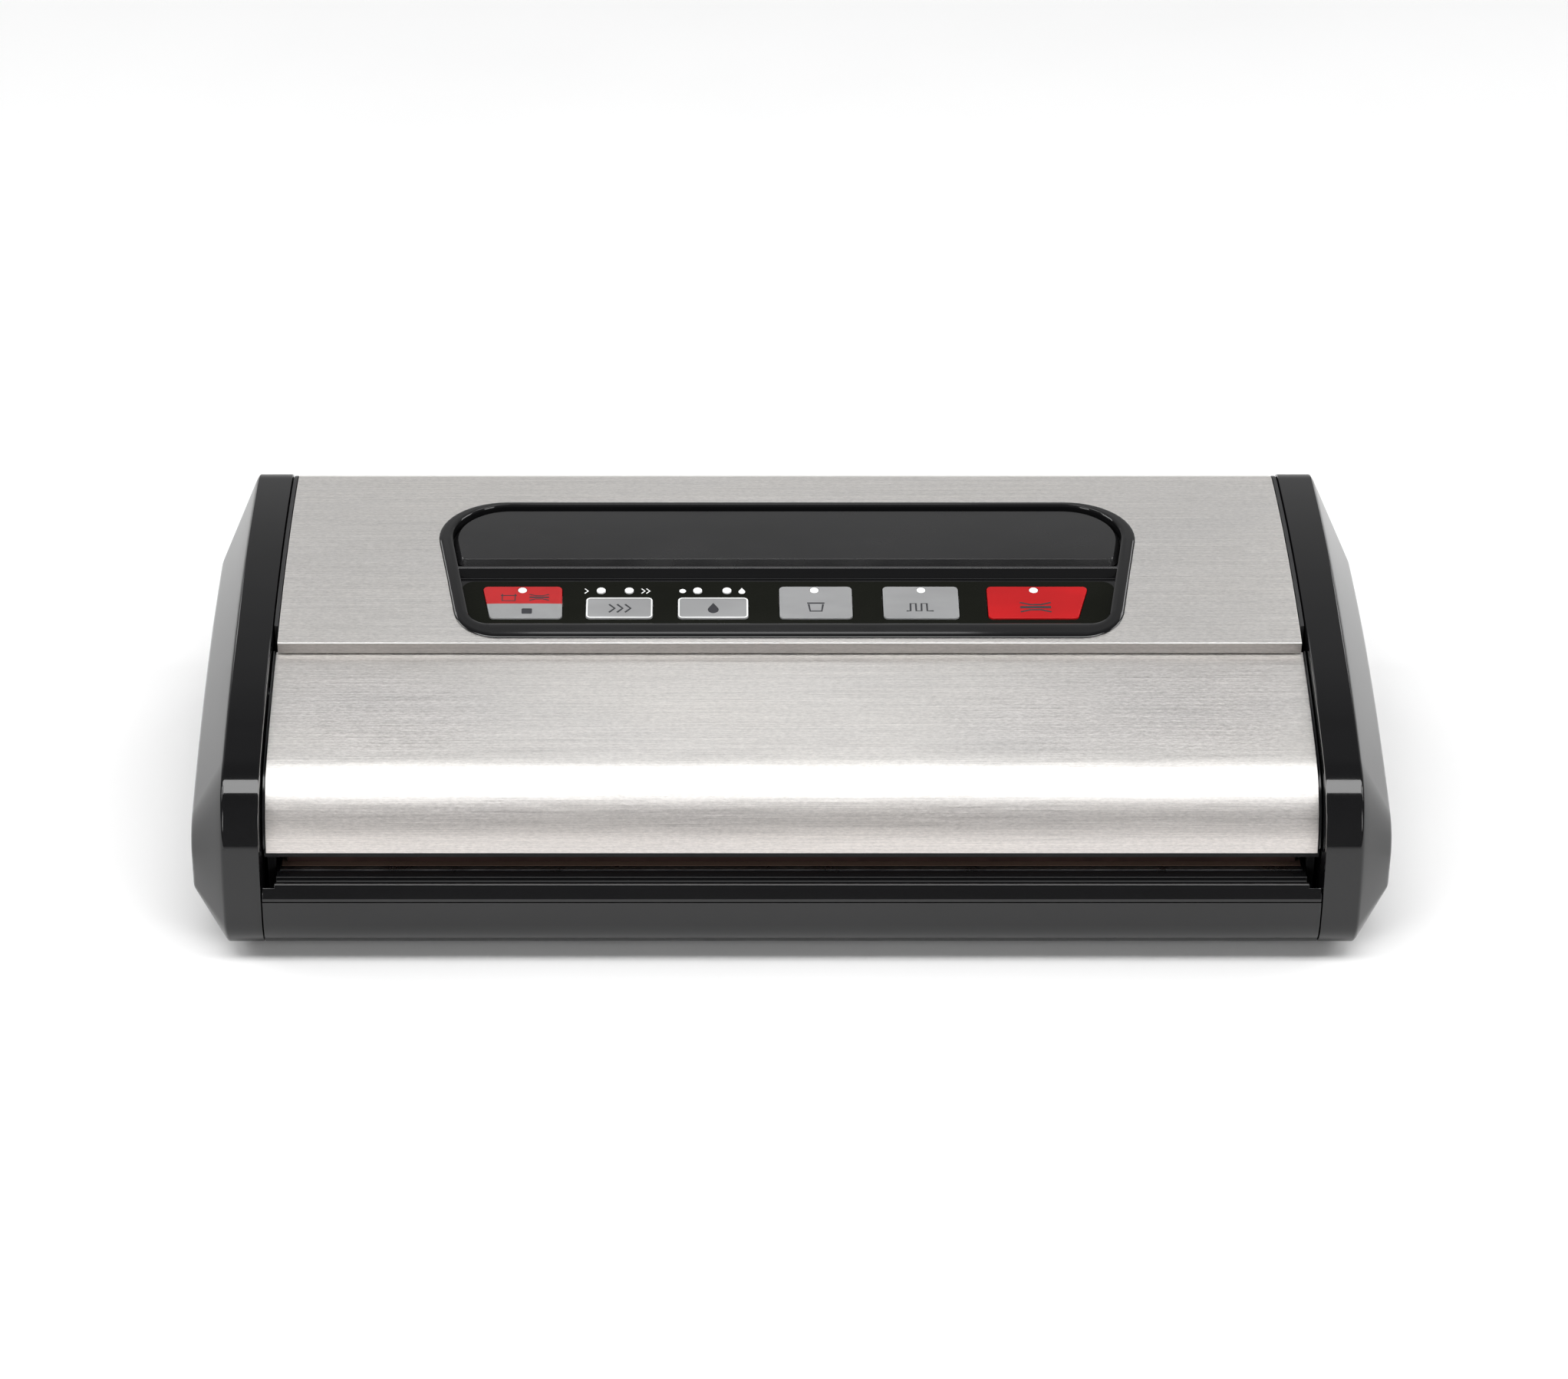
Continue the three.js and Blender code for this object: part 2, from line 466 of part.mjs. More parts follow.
const rearPanel = () => {
  const outer = REAR_PANEL_INSET;
  const inner = outer + SHEET;
  const foldTop = topAt(STEP_Y, outer);
  const foldFoot = topAt(STEP_Y, LID_INSET) + 0.6;
  const lead = 1.2; // bend at the step
  const profile = [
    ...arc(BACK[0], BACK[1], BACK_R - outer, 25, BACK_TURN, 5),
    ...topArc(BACK[0] - 4, STEP_Y + lead, outer, 8),
    [STEP_Y + 0.3, foldTop - 0.4], [STEP_Y, foldTop - 1.1], [STEP_Y, foldFoot],
    [STEP_Y + SHEET, foldFoot], [STEP_Y + SHEET, foldTop - 1.3],
    ...topArc(BACK[0] - 4, STEP_Y + lead + 0.8, inner, 8).reverse(),
    ...arc(BACK[0], BACK[1], BACK_R - inner, 25, BACK_TURN, 5).reverse(),
  ];
  return alongX(profile, -REAR_PANEL_X, REAR_PANEL_X).subtract(alongZ(bezelPlan(1.7), 40, 100));
};
add("rear_housing", housing(), "mattBlack");
add("rear_top_panel", rearPanel(), "steel");

const inletBody = () => {
  const body = alongY(aroundInlet(INLET.w - 2 * GAP, INLET.h - 2 * GAP, 5), 72, HALF_DEPTH - 0.1);
  const socket = alongY(aroundInlet(18.8, 10, 4.5), 78, 100);
  const pins = [-4.3, 4.3].map((x) => rodY(1.4, INLET.x + x, INLET.z, 70, 80, 10));
  return cut(body, [socket, ...pins]);
};
add("mains_inlet", inletBody(), "mattBlack");
[["left", -4.3], ["right", 4.3]].forEach(([name, x]) =>
  add(name + "_inlet_pin", rodY(1.1, INLET.x + x, INLET.z, 68, 89, 10), "metal"),
);

// ---- Keypad -------------------------------------------------------------------------------------
const PLATE = { back: 59.2, front: 25.6 };
const LABEL = { back: 17.6, front: -8 };
const RIM = 4.6; // width of the surround's rim at its sides
// Inside of the surround between two Ys, following its sides
function pocketPlan(front, back, inset, rFront, rBack) {
  const f = front + inset;
  const b = back - inset;
  const [xf, xb] = [f, b].map((y) => bezelHalf(y) - RIM - inset);
  return rounded([[-xf, f, rFront], [xf, f, rFront], [xb, b, rBack], [-xb, b, rBack]], 4);
}

// Keys: plan, and the X of the lamps that shine through or beside each
const KEY_BACK = 14.3;
const KEY_SHORT = 8.4;
const KEY_FRONT = -2.4;
const KEY_CORNER = 1.6;
// Corners of a key from the X of its back corners and of its front corners
const keyShape = ([backLeft, backRight], [frontLeft, frontRight], back) => [
  [frontLeft, KEY_FRONT, KEY_CORNER], [frontRight, KEY_FRONT, KEY_CORNER],
  [backRight, back, KEY_CORNER], [backLeft, back, KEY_CORNER],
];
const straight = (left, right, back) => keyShape([left, right], [left, right], back);
const KEYS = {
  vacuum_seal: {
    plan: keyShape([-100.2, -74.1], [-97.3, -73.8], KEY_BACK),
    lamps: [-87.1],
    finish: "keyRed",
  },
  speed: { plan: straight(-66.2, -44.3, KEY_SHORT), lamps: [-61.3, -52.1], finish: "keyGrey" },
  food: { plan: straight(-36.2, -13.1, KEY_SHORT), lamps: [-29.7, -20.1], finish: "keyGrey" },
  canister: { plan: straight(-3, 20.8, KEY_BACK), lamps: [8.5], finish: "keyGrey" },
  pulse: { plan: straight(30.9, 55.6, KEY_BACK), lamps: [43.5], finish: "keyGrey" },
  seal: { plan: keyShape([65, 98.4], [65, 94.2], KEY_BACK), lamps: [80.4], finish: "keyRed" },
};
const keyPlan = ({ plan }, grow = 0) => {
  const [cx, cy] = [0, 1].map((k) => plan.reduce((sum, p) => sum + p[k], 0) / plan.length);
  const moved = (v, middle) => v + Math.sign(v - middle) * grow;
  return rounded(plan.map(([x, y, r]) => [moved(x, cx), moved(y, cy), r + grow]), 3);
};
const LAMPS = Object.values(KEYS).flatMap((key) => key.lamps);
const lampRods = (r, sides = 12) => LAMPS.map((x) => rodZ(r, x, LED_Y, 40, 100, sides));

// Ridge between the window plate and the key label, as [y, depth] below the outline
const RIDGE = [[20.2, 3.8], [20.4, 3], [22.1, 0.85], [22.6, 0.7], [23.1, 0.85], [24.7, 3], [24.8, 3.8]];
const bezel = () => {
  const crest = -0.2;
  const rim = layer(bezelPlan(0), crest, REAR_PANEL_INSET - GAP);
  const body = layer(bezelPlan(2), crest + 0.2, PANEL_FLOOR + 1.8);
  const pocket = alongZ(pocketPlan(LABEL.front, PLATE.back, 0, 7, 19), 40, 100);
  const floor = layer(bezelPlan(3), PANEL_FLOOR + 0.6, PANEL_FLOOR + 1.8);
  const ridge = alongX(RIDGE.map(([y, depth]) => [y, topAt(y, depth)]), -BEZEL.wide, BEZEL.wide);
  const keyHoles = Object.values(KEYS).map((key) => alongZ(keyPlan(key, 0.3), 40, 100));
  const walls = cut(rim.add(body), [pocket]).add(floor).add(ridge.intersect(alongZ(bezelPlan(4), 40, 100)));
  return cut(walls, [...keyHoles, ...lampRods(LED_R + 0.3)]);
};
add("control_bezel", bezel(), "glossBlack");

const windowPlate = () => {
  const foot = layer(pocketPlan(PLATE.front, PLATE.back, 0.3, 4, 18.7), PANEL_FLOOR - 0.6, PANEL_FLOOR + 0.3);
  return foot.add(layer(pocketPlan(PLATE.front, PLATE.back, 2.6, 3, 16.5), 1.1, PANEL_FLOOR));
};
add("window_plate", windowPlate(), "plateGrey");

const overlay = () => {
  const sheet = layer(pocketPlan(LABEL.front, LABEL.back, 0.3, 6.8, 3.8), PANEL_FLOOR, PANEL_FLOOR + 0.3);
  const keyHoles = Object.values(KEYS).map((key) => alongZ(keyPlan(key, 0.3), 40, 100));
  return cut(sheet, [...keyHoles, ...lampRods(LED_R + 0.25)]);
};
add("panel_overlay", overlay(), "mattBlack");

for (const [name, key] of Object.entries(KEYS)) {
  const top = PANEL_FLOOR - KEY_PROUD;
  const cap = layer(keyPlan(key), top, top + KEY_THICK);
  add(name + "_key", cut(cap, lampRods(LED_R + 0.25)), key.finish);
}

const LIGHT_BAR = PANEL_FLOOR + 3.4;
const lightGuide = () => {
  const bar = layer(rectangle(-92, 86, LED_Y - 2.2, LED_Y + 2.2), LIGHT_BAR, LIGHT_BAR + 1.2);
  const post = (x) => layer(circle(LED_R, x, LED_Y, 12), PANEL_FLOOR - KEY_PROUD, LIGHT_BAR + 0.5);
  return union([bar, ...LAMPS.map(post)]);
};
add("light_guide", lightGuide(), "light");

const controlBoard = () => {
  const z = topAt(LED_Y) - LIGHT_BAR - 3;
  const board = box(-104, 104, -5, 30, z - 1.6, z);
  const switches = Object.values(KEYS).map(({ plan }) => {
    const x = (plan[0][0] + plan[1][0]) / 2;
    return box(x - 3, x + 3, -1, 5, z - 0.5, topAt(2) - PANEL_FLOOR - KEY_THICK - 0.6);
  });
  return union([board, ...switches]);
};
add("control_board", controlBoard(), "board");

// ---- Lid ----------------------------------------------------------------------------------------
const lid = new THREE.Group();
sealer.add(lid);
const LID = { x: BODY_HALF - 0.1, sheetX: 166 };
const lidCover = () => {
  const foot = noseAt(LID_FRONT_Z, LID_FRONT_INSET + SHEET) + 1.4; // inner edge of the hem
  const profile = [
    ...lidSkin(LID_REAR_Y, LID_FRONT_Z, 0),
    [foot, LID_FRONT_Z], [foot, LID_FRONT_Z + SHEET],
    ...lidSkin(LID_REAR_Y, LID_FRONT_Z + SHEET, SHEET).reverse(),
  ];
  return alongX(profile, -LID.sheetX, LID.sheetX);
};
add("lid_cover", lidCover(), "steel", lid);

const LID_BACK_Y = -20;
const lidSection = (depth, floor, back = 0) => {
  const rearY = LID_REAR_Y + 0.4 - back;
  const foot = noseAt(LID_FRONT_Z, LID_FRONT_INSET + depth);
  return [
    [LID_BACK_Y - back, floor], [LID_BACK_Y - back, 50], [rearY, topAt(rearY, LID_INSET + depth) - 1.5],
    ...lidSkin(rearY, LID_FRONT_Z + 1.6, depth),
    [foot + 2, LID_FRONT_Z + 1.6], [foot + 2.2, floor],
  ];
};
const UNDER = SHEET + GAP;
const lidFrame = () => {
  const outer = alongX(lidSection(UNDER, LID_FLOOR_Z + 2.4), -LID.x, LID.x);
  const lipOuter = alongX(lidSection(0, LID_FLOOR_Z + 2.4), -LID.x, LID.x);
  const lips = lipOuter.subtract(box(-LID.sheetX - GAP, LID.sheetX + GAP, -HIGH, HIGH, 0, HIGH));
  const hollow = alongX(lidSection(UNDER + WALL, LID_FLOOR_Z - 2, WALL), WALL - LID.x, LID.x - WALL);
  const pinPlan = circle(HINGE.r + GAP, HINGE.y, HINGE.z);
  const pins = Object.values(SIDES).map((side) => sideX(pinPlan, side, LID.x - 10, LID.x + 10));
  return cut(outer.add(lips), [hollow, ...pins]);
};
add("lid_frame", lidFrame(), "glossBlack", lid);

const PRESSURE = { x: 160, half: 3.6 };
const LID_CHANNEL_Z = LID_FLOOR_Z + 1;
const lidFloor = () => {
  const top = LID_FLOOR_Z + 2.1;
  const front = noseAt(LID_FRONT_Z, LID_FRONT_INSET + UNDER) + 1.5;
  const plate = box(-LID.x, LID.x, front, LID_BACK_Y, LID_FLOOR_Z, top);
  const channelPlan = aroundHeater(PRESSURE.x + GAP, PRESSURE.half + GAP);
  const channel = alongZ(channelPlan, LID_FLOOR_Z - 1, LID_CHANNEL_Z);
  const groove = ring(0, LID_FLOOR_Z - 1, LID_CHANNEL_Z);
  const hookPlan = rectangle(LATCH.y - 3.3, LATCH.y + 3.3, 0, HIGH);
  const hooks = Object.values(SIDES).map((side) => sideX(hookPlan, side, LATCH.x0 - GAP, LATCH.x1 + GAP));
  return cut(plate, [channel, groove, ...hooks]);
};
add("lid_floor", lidFloor(), "mattBlack", lid);
const pressureStrip = strip(PRESSURE.x, PRESSURE.half, DECK_Z + 1.8, LID_CHANNEL_Z - GAP);
add("pressure_strip", pressureStrip, "silicone", lid);
add("upper_gasket", ring(GAP, DECK_Z + 2 + GAP, LID_CHANNEL_Z - GAP), "rubber", lid);

for (const [name, side] of Object.entries(SIDES)) {
  const pin = sideX(circle(HINGE.r, HINGE.y, HINGE.z), side, LID.x - WALL - 1, CAP_INNER + 5);
  const head = sideX(circle(3.7, HINGE.y, HINGE.z), side, LID.x - WALL - 2.2, LID.x - WALL - GAP);
  add(name + "_hinge_pin", pin.add(head), "metal", lid);

  // Hook: a stem through the lid's floor with a barb at its foot, hung from a flange
  const { y, z, x0, x1 } = LATCH;
  const wallFace = LID.x - WALL - GAP;
  const barb = [[y - 1, z - 1], [y + 3, z + 1], [y + 3, z + 4], [y, z + 4]];
  const stem = [[y - 3, LID_FLOOR_Z + 2], [y - 3, z + 1], ...barb, [y, LID_FLOOR_Z + 2]];
  const hook = union([
    sideX(stem, side, x0, x1),
    sideX(rectangle(y - 3, y, LID_FLOOR_Z, LID_FLOOR_Z + 6), side, x0, wallFace),
    sideX(rectangle(y - 3, y + 3, LID_FLOOR_Z + 2.4, LID_FLOOR_Z + 6), side, x0 - 6, wallFace),
  ]);
  add(name + "_latch_hook", hook, "mattBlack", lid);
}

// ---- Latch shaft: two pawls on one rod under the deck, sprung clear of the hooks -----------------
const latch = new THREE.Group();
sealer.add(latch);
const PAWL = { tip: LATCH.y + 3.4, low: LATCH.z + 5.5, high: LATCH.z + 7.5 };
add("latch_shaft", rodX(ROD.r, ROD.y, ROD.z, -LATCH.x1, LATCH.x1, 12), "metal", latch);
for (const [name, side] of Object.entries(SIDES)) {
  const { y, z } = ROD;
  const { tip, low, high } = PAWL;
  const hub = [[y - 3, z + 3], [y - 3, z - 3], [y + 3, z - 3], [y + 3, z + 3]];
  const pawl = [...hub, [tip + 4, high], [tip, high], [tip, low], [tip + 3, low]];
  const bore = sideX(circle(ROD.r + 0.1, ROD.y, ROD.z, 12), side, 150, 180);
  add(name + "_latch_pawl", sideX(pawl, side, LATCH.x0, LATCH.x1).subtract(bore), "mattBlack", latch);
}

// ---- Vacuum pump, valve and hoses ---------------------------------------------------------------
const PUMP = { y: 42, z: 30, can: 18, head: [6, 34] };
const pumpMotor = () => {
  const can = rodX(PUMP.can, PUMP.y, PUMP.z, -62, 0, 28);
  const boss = rodX(6, PUMP.y, PUMP.z, -65, -61, 16);
  return cut(can.add(boss), [rodX(2.3, PUMP.y, PUMP.z, -6, 2, 12)]);
};
add("pump_motor", pumpMotor(), "metal");
const bracket = union([box(1, 3, 20, 64, 5.6, 52), box(1, 34, 20, 64, 5.6, 8)]);
add("pump_bracket", bracket.subtract(rodX(4, PUMP.y, PUMP.z, 0, 5, 16)), "metal");
const pumpHead = () => {
  const [x0, x1] = PUMP.head;
  const body = box(x0, x1, PUMP.y - 16, PUMP.y + 16, 8.4, 46);
  const cylinder = rodZ(13, (x0 + x1) / 2, PUMP.y, 45, 58, 20);
  const nozzle = rodX(2.4, PUMP.y, 53, x1 - 8, x1 + 3, 12);
  return cut(union([body, cylinder, nozzle]), [box(x0 - 1, x0 + 14, PUMP.y - 12, PUMP.y + 12, 18, 42)]);
};
add("pump_head", pumpHead(), "mattBlack");
const pumpShaft = new THREE.Group();
sealer.add(pumpShaft);
const shaft = rodX(2, PUMP.y, PUMP.z, -4, 9, 12);
add("pump_eccentric", shaft.add(rodX(7, PUMP.y + 2, PUMP.z, 8, 15, 20)), "metal", pumpShaft);

const VALVE = { x: 92, y: 34 };
add("release_valve", union([
  box(VALVE.x - 9, VALVE.x + 9, VALVE.y - 9, VALVE.y + 9, 5.6, 14),
  rodZ(8, VALVE.x, VALVE.y, 13, 34, 16),
  rodY(2.4, VALVE.x, 10, VALVE.y - 12, VALVE.y - 8, 12),
]), "metal");

// A hose of constant section through hand-placed points
function hose(points, steps) {
  const tube = new THREE.Shape().absarc(0, 0, 3, 0, 2 * Math.PI, false);
  tube.holes.push(new THREE.Path().absarc(0, 0, 1.8, 0, 2 * Math.PI, true));
  const extrudePath = new THREE.CatmullRomCurve3(points.map((p) => new THREE.Vector3(...p)));
  const settings = { steps, extrudePath, curveSegments: 5, bevelEnabled: false };
  return solid(new THREE.ExtrudeGeometry(tube, settings));
}
const portEnd = PORT_BACK_Y + 0.5;
const suctionRoute = [
  [138, portEnd, PORT_Z], [138, -4, PORT_Z], [128, 18, 26],
  [90, 38, 44], [60, PUMP.y, 53], [37.4, PUMP.y, 53],
];
add("suction_hose", hose(suctionRoute, 18), "hose");
const valveRoute = [
  [118, portEnd, PORT_Z], [118, -7, PORT_Z], [110, 4, 14], [96, 12, 10], [VALVE.x, VALVE.y - 13.2, 10],
];
add("valve_hose", hose(valveRoute, 12), "hose");

// ---- Electrics ----------------------------------------------------------------------------------
const CORE = { x: -128, y: 44, w: 54, d: 24, z0: 5.6, z1: 50, leg: 9, window: [14.6, 41] };
const aboutCore = (w, d, z0, z1) => box(CORE.x - w, CORE.x + w, CORE.y - d, CORE.y + d, z0, z1);
const core = aboutCore(CORE.w / 2, CORE.d / 2, CORE.z0, CORE.z1);
const windows = aboutCore(18, CORE.d, ...CORE.window).subtract(aboutCore(CORE.leg, CORE.d + 1, 0, HIGH));
add("transformer_core", core.subtract(windows), "metal");
const coil = aboutCore(17.6, 21, CORE.window[0] + 0.4, CORE.window[1] - 0.4);
add("transformer_coil", coil.subtract(aboutCore(CORE.leg + 0.4, CORE.d / 2 + 0.4, 0, HIGH)), "copper");
const powerBoard = [box(-84, 44, -5, 16, 9, 10.6), box(-60, -44, -1, 12, 10, 24)];
powerBoard.push(...[-30, -14, 2].map((x) => rodZ(5, x, 5, 10, 26, 12)), box(20, 36, 0, 12, 10, 20));
add("power_board", union(powerBoard), "board");
const switchBody = box(-SWITCH.x - 3.2, -SWITCH.x + 3.2, SWITCH.y - 8, SWITCH.y + 8, 14, SEAM_Z);
add("lid_switch", switchBody.add(rodZ(1.5, -SWITCH.x, SWITCH.y, 24, LID_FLOOR_Z - 0.5, 12)), "mattBlack");

export default sealer;
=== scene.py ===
"""Looks of a countertop vacuum sealer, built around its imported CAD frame.

Lengths in this script are millimetres; a mesh is scaled to metres when it is made.
+X is the machine's right, +Y its back, +Z up, and the origin is on the table under its centre.
"""

import json
import math

import bmesh
import bpy
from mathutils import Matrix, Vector


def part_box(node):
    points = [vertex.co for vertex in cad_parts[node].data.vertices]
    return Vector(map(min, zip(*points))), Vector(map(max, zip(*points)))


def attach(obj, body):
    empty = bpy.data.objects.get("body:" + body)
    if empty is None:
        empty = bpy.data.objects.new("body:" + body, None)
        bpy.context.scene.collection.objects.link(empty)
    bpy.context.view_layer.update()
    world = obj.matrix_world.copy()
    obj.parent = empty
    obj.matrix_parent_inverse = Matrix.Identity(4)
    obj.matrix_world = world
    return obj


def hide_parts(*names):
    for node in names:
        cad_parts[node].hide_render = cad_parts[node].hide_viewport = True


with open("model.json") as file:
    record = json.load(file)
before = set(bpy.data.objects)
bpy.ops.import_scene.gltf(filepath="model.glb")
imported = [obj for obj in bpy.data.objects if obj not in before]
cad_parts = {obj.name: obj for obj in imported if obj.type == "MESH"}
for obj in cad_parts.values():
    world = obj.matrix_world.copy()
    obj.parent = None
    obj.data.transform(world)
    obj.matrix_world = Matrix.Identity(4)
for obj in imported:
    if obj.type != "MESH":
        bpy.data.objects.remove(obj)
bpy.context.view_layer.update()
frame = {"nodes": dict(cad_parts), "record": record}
MM = 0.001


# ---- Sizes that come from the frame ---------------------------------------------------------------
def corners_of(node):
    """Lowest and highest corner of a CAD node, in millimetres."""
    low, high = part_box(node)
    return low / MM, high / MM


cap_low, cap_high = corners_of("right_end_cap")
cover_low, cover_high = corners_of("lid_cover")
panel_low, panel_high = corners_of("rear_top_panel")
bezel_low, bezel_high = corners_of("control_bezel")
plate_low, plate_high = corners_of("window_plate")
label_low, label_high = corners_of("panel_overlay")

CAP_INNER = cap_low.x
HALF_WIDTH = cap_high.x
HALF_DEPTH = cap_high.y
FLOOR_Z = cap_low.z
STEP_Y = panel_low.y
STRIP_OUTER = 178.9  # X at which an end cap's flat strip meets its bevel
GAP = 0.3
SHEET = 0.8
WALL = 2.2
THROUGH_TOP = (40, 100)  # heights between which a column passes through the whole top

# Side outline: tangent arcs from the nose up and over to the back
NOSE_Z = 16.4
NOSE_R = 120.0
NOSE_TURN = 168.0
BROW_R = 29.5
BROW_TURN = 106.0
TOP_R = 430.0
BACK_R = 14.0
FOOT_R = 13.4
LID_INSET = 5.0
LID_FRONT_INSET = 8.5
LID_BROW_R = 26.0
REAR_PANEL_INSET = 0.6
PANEL_FLOOR = 3.0
HINGE_Y, HINGE_Z = -24.0, 58.0


# ---- Plane geometry -------------------------------------------------------------------------------
def polar(degrees):
    turn = math.radians(degrees)
    return math.cos(turn), math.sin(turn)


def arc(centre, radius, start, end, steps):
    """Points of an arc, angles in degrees."""
    turns = (start + (end - start) * i / steps for i in range(steps + 1))
    return [(centre[0] + radius * c, centre[1] + radius * s) for c, s in map(polar, turns)]


def angle_to(a, b):
    return math.degrees(math.atan2(b[1] - a[1], b[0] - a[0]))


def step_from(point, distance, degrees):
    c, s = polar(degrees)
    return point[0] + distance * c, point[1] + distance * s


NOSE = (NOSE_R - HALF_DEPTH, NOSE_Z)
BROW = step_from(NOSE, NOSE_R - BROW_R, NOSE_TURN)
TOP = step_from(BROW, BROW_R - TOP_R, BROW_TURN)
BACK_Y = HALF_DEPTH - BACK_R
BACK = (BACK_Y, TOP[1] + math.sqrt((TOP_R - BACK_R) ** 2 - (BACK_Y - TOP[0]) ** 2))
BACK_TURN = angle_to(TOP, BACK)


def top_at(y, inset=0.0):
    """Height of the outline's top at a given Y, less an inset."""
    return TOP[1] + math.sqrt((TOP_R - inset) ** 2 - (y - TOP[0]) ** 2)


def turn_at(y, inset=0.0):
    return math.degrees(math.acos((y - TOP[0]) / (TOP_R - inset)))


def nose_turn_at(z, inset=0.0):
    return 180.0 - math.degrees(math.asin((z - NOSE_Z) / (NOSE_R - inset)))


def nose_at(z, inset=0.0):
    return step_from(NOSE, NOSE_R - inset, nose_turn_at(z, inset))[0]


def top_arc(y0, y1, inset, steps):
    return arc(TOP, TOP_R - inset, turn_at(y0, inset), turn_at(y1, inset), steps)


def lid_brow():
    """Centre of the lid's brow, which is tangent to the lid's top and to its front."""
    from_top = TOP_R - LID_INSET - LID_BROW_R
    from_nose = NOSE_R - LID_FRONT_INSET - LID_BROW_R
    between = math.dist(TOP, NOSE)
    cosine = (from_top**2 + between**2 - from_nose**2) / (2 * from_top * between)
    return step_from(TOP, from_top, angle_to(TOP, NOSE) + math.degrees(math.acos(cosine)))


LID_BROW = lid_brow()


def lid_skin(rear_y, foot_z, depth):
    """The lid's side outline from its rear edge down to a height on its front."""
    inset = LID_INSET + depth
    front = LID_FRONT_INSET + depth
    top_end = angle_to(TOP, LID_BROW)
    front_start = angle_to(NOSE, LID_BROW)
    return [
        *arc(TOP, TOP_R - inset, turn_at(rear_y, inset), top_end, 16),
        *arc(LID_BROW, LID_BROW_R - depth, top_end, front_start, 32)[1:],
        *arc(NOSE, NOSE_R - front, front_start, nose_turn_at(foot_z, front), 8)[1:],
    ]


def rounded(corners, steps=8):
    """A polygon whose corners (a, b, radius) are rounded."""
    outline = []
    for i, (a, b, radius) in enumerate(corners):
        if not radius:
            outline.append((a, b))
            continue
        point = Vector((a, b))
        u = (Vector(corners[i - 1][:2]) - point).normalized()
        v = (Vector(corners[(i + 1) % len(corners)][:2]) - point).normalized()
        half = math.acos(max(-1.0, min(1.0, u.dot(v)))) / 2
        centre = point + (u + v).normalized() * (radius / math.sin(half))
        reach = radius / math.tan(half)
        start = angle_to(centre, point + u * reach)
        sweep = (angle_to(centre, point + v * reach) - start + 180) % 360 - 180
        outline += arc(centre, radius, start, start + sweep, steps)
    return outline


def rectangle(a0, a1, b0, b1, radius=0.0, steps=6):
    return rounded([(a0, b0, radius), (a1, b0, radius), (a1, b1, radius), (a0, b1, radius)], steps)


def circle(radius, a, b, sides=40):
    return arc((a, b), radius, 0, 360, sides)[:-1]


# ---- Mesh making ----------------------------------------------------------------------------------
SMOOTH_ANGLE = math.radians(28)
MERGE = 0.002  # points closer than this are one
AREA_WEIGHT = 80  # how strongly larger faces lead the shading


def piece_from(name, vertices, faces):
    """A new object from millimetre vertices, its faces turned outwards."""
    mesh = bpy.data.meshes.new(name)
    mesh.from_pydata([tuple(c * MM for c in v) for v in vertices], [], faces)
    work = bmesh.new()
    work.from_mesh(mesh)
    bmesh.ops.recalc_face_normals(work, faces=work.faces)
    work.to_mesh(mesh)
    work.free()
    made = bpy.data.objects.new(name, mesh)
    bpy.context.scene.collection.objects.link(made)
    return made


def prism(name, outline, near, far, axis):
    """A closed prism: a YZ outline along X, an XY outline along Z, or an XZ outline along Y."""
    place = {
        "x": lambda a, b, c: (c, a, b),
        "y": lambda a, b, c: (a, c, b),
        "z": lambda a, b, c: (a, b, c),
    }[axis]
    count = len(outline)
    vertices = [place(a, b, c) for c in (near, far) for a, b in outline]
    sides = [(i, (i + 1) % count, (i + 1) % count + count, i + count) for i in range(count)]
    return piece_from(name, vertices, [tuple(range(count)), tuple(range(count, 2 * count)), *sides])


def column(outline):
    """An upright prism over a plan outline, to cut or trim the top with."""
    return prism("column", outline, *THROUGH_TOP, "z")


def loft(name, sections):
    """A closed loft through outlines of equal length, each a list of points in space."""
    count = len(sections[0])
    vertices = [point for section in sections for point in section]
    faces = []
    for s in range(len(sections) - 1):
        for i in range(count):
            j = (i + 1) % count
            faces.append((s * count + i, s * count + j, (s + 1) * count + j, (s + 1) * count + i))
    last = (len(sections) - 1) * count
    faces += [tuple(range(count)), tuple(range(last, last + count))]
    return piece_from(name, vertices, faces)


def combine(target, tools, operation):
    """Joins, cuts or trims a piece by others, which are used up."""
    for tool in tools:
        modifier = target.modifiers.new("combine", "BOOLEAN")
        modifier.operation = operation
        modifier.solver = "EXACT"
        modifier.object = tool
        bake_modifiers(target)
        bpy.data.objects.remove(tool)
    return target


def cut(target, *tools):
    return combine(target, tools, "DIFFERENCE")


def join(target, *tools):
    return combine(target, tools, "UNION")


def trim(target, *tools):
    return combine(target, tools, "INTERSECT")


def bake_modifiers(piece):
    bpy.context.view_layer.update()
    graph = bpy.context.evaluated_depsgraph_get()
    baked = bpy.data.meshes.new_from_object(piece.evaluated_get(graph))
    baked.name = piece.name
    piece.modifiers.clear()
    piece.data = baked


def tidy(piece, flat_angle=0.2):
    """Merges stray points and the flat faces that booleans leave split."""
    work = bmesh.new()
    work.from_mesh(piece.data)
    flat = math.radians(flat_angle)
    bmesh.ops.remove_doubles(work, verts=work.verts, dist=MERGE * MM)
    bmesh.ops.dissolve_degenerate(work, edges=work.edges, dist=MERGE * MM)
    bmesh.ops.dissolve_limit(work, angle_limit=flat, verts=work.verts, edges=work.edges)
    work.to_mesh(piece.data)
    work.free()


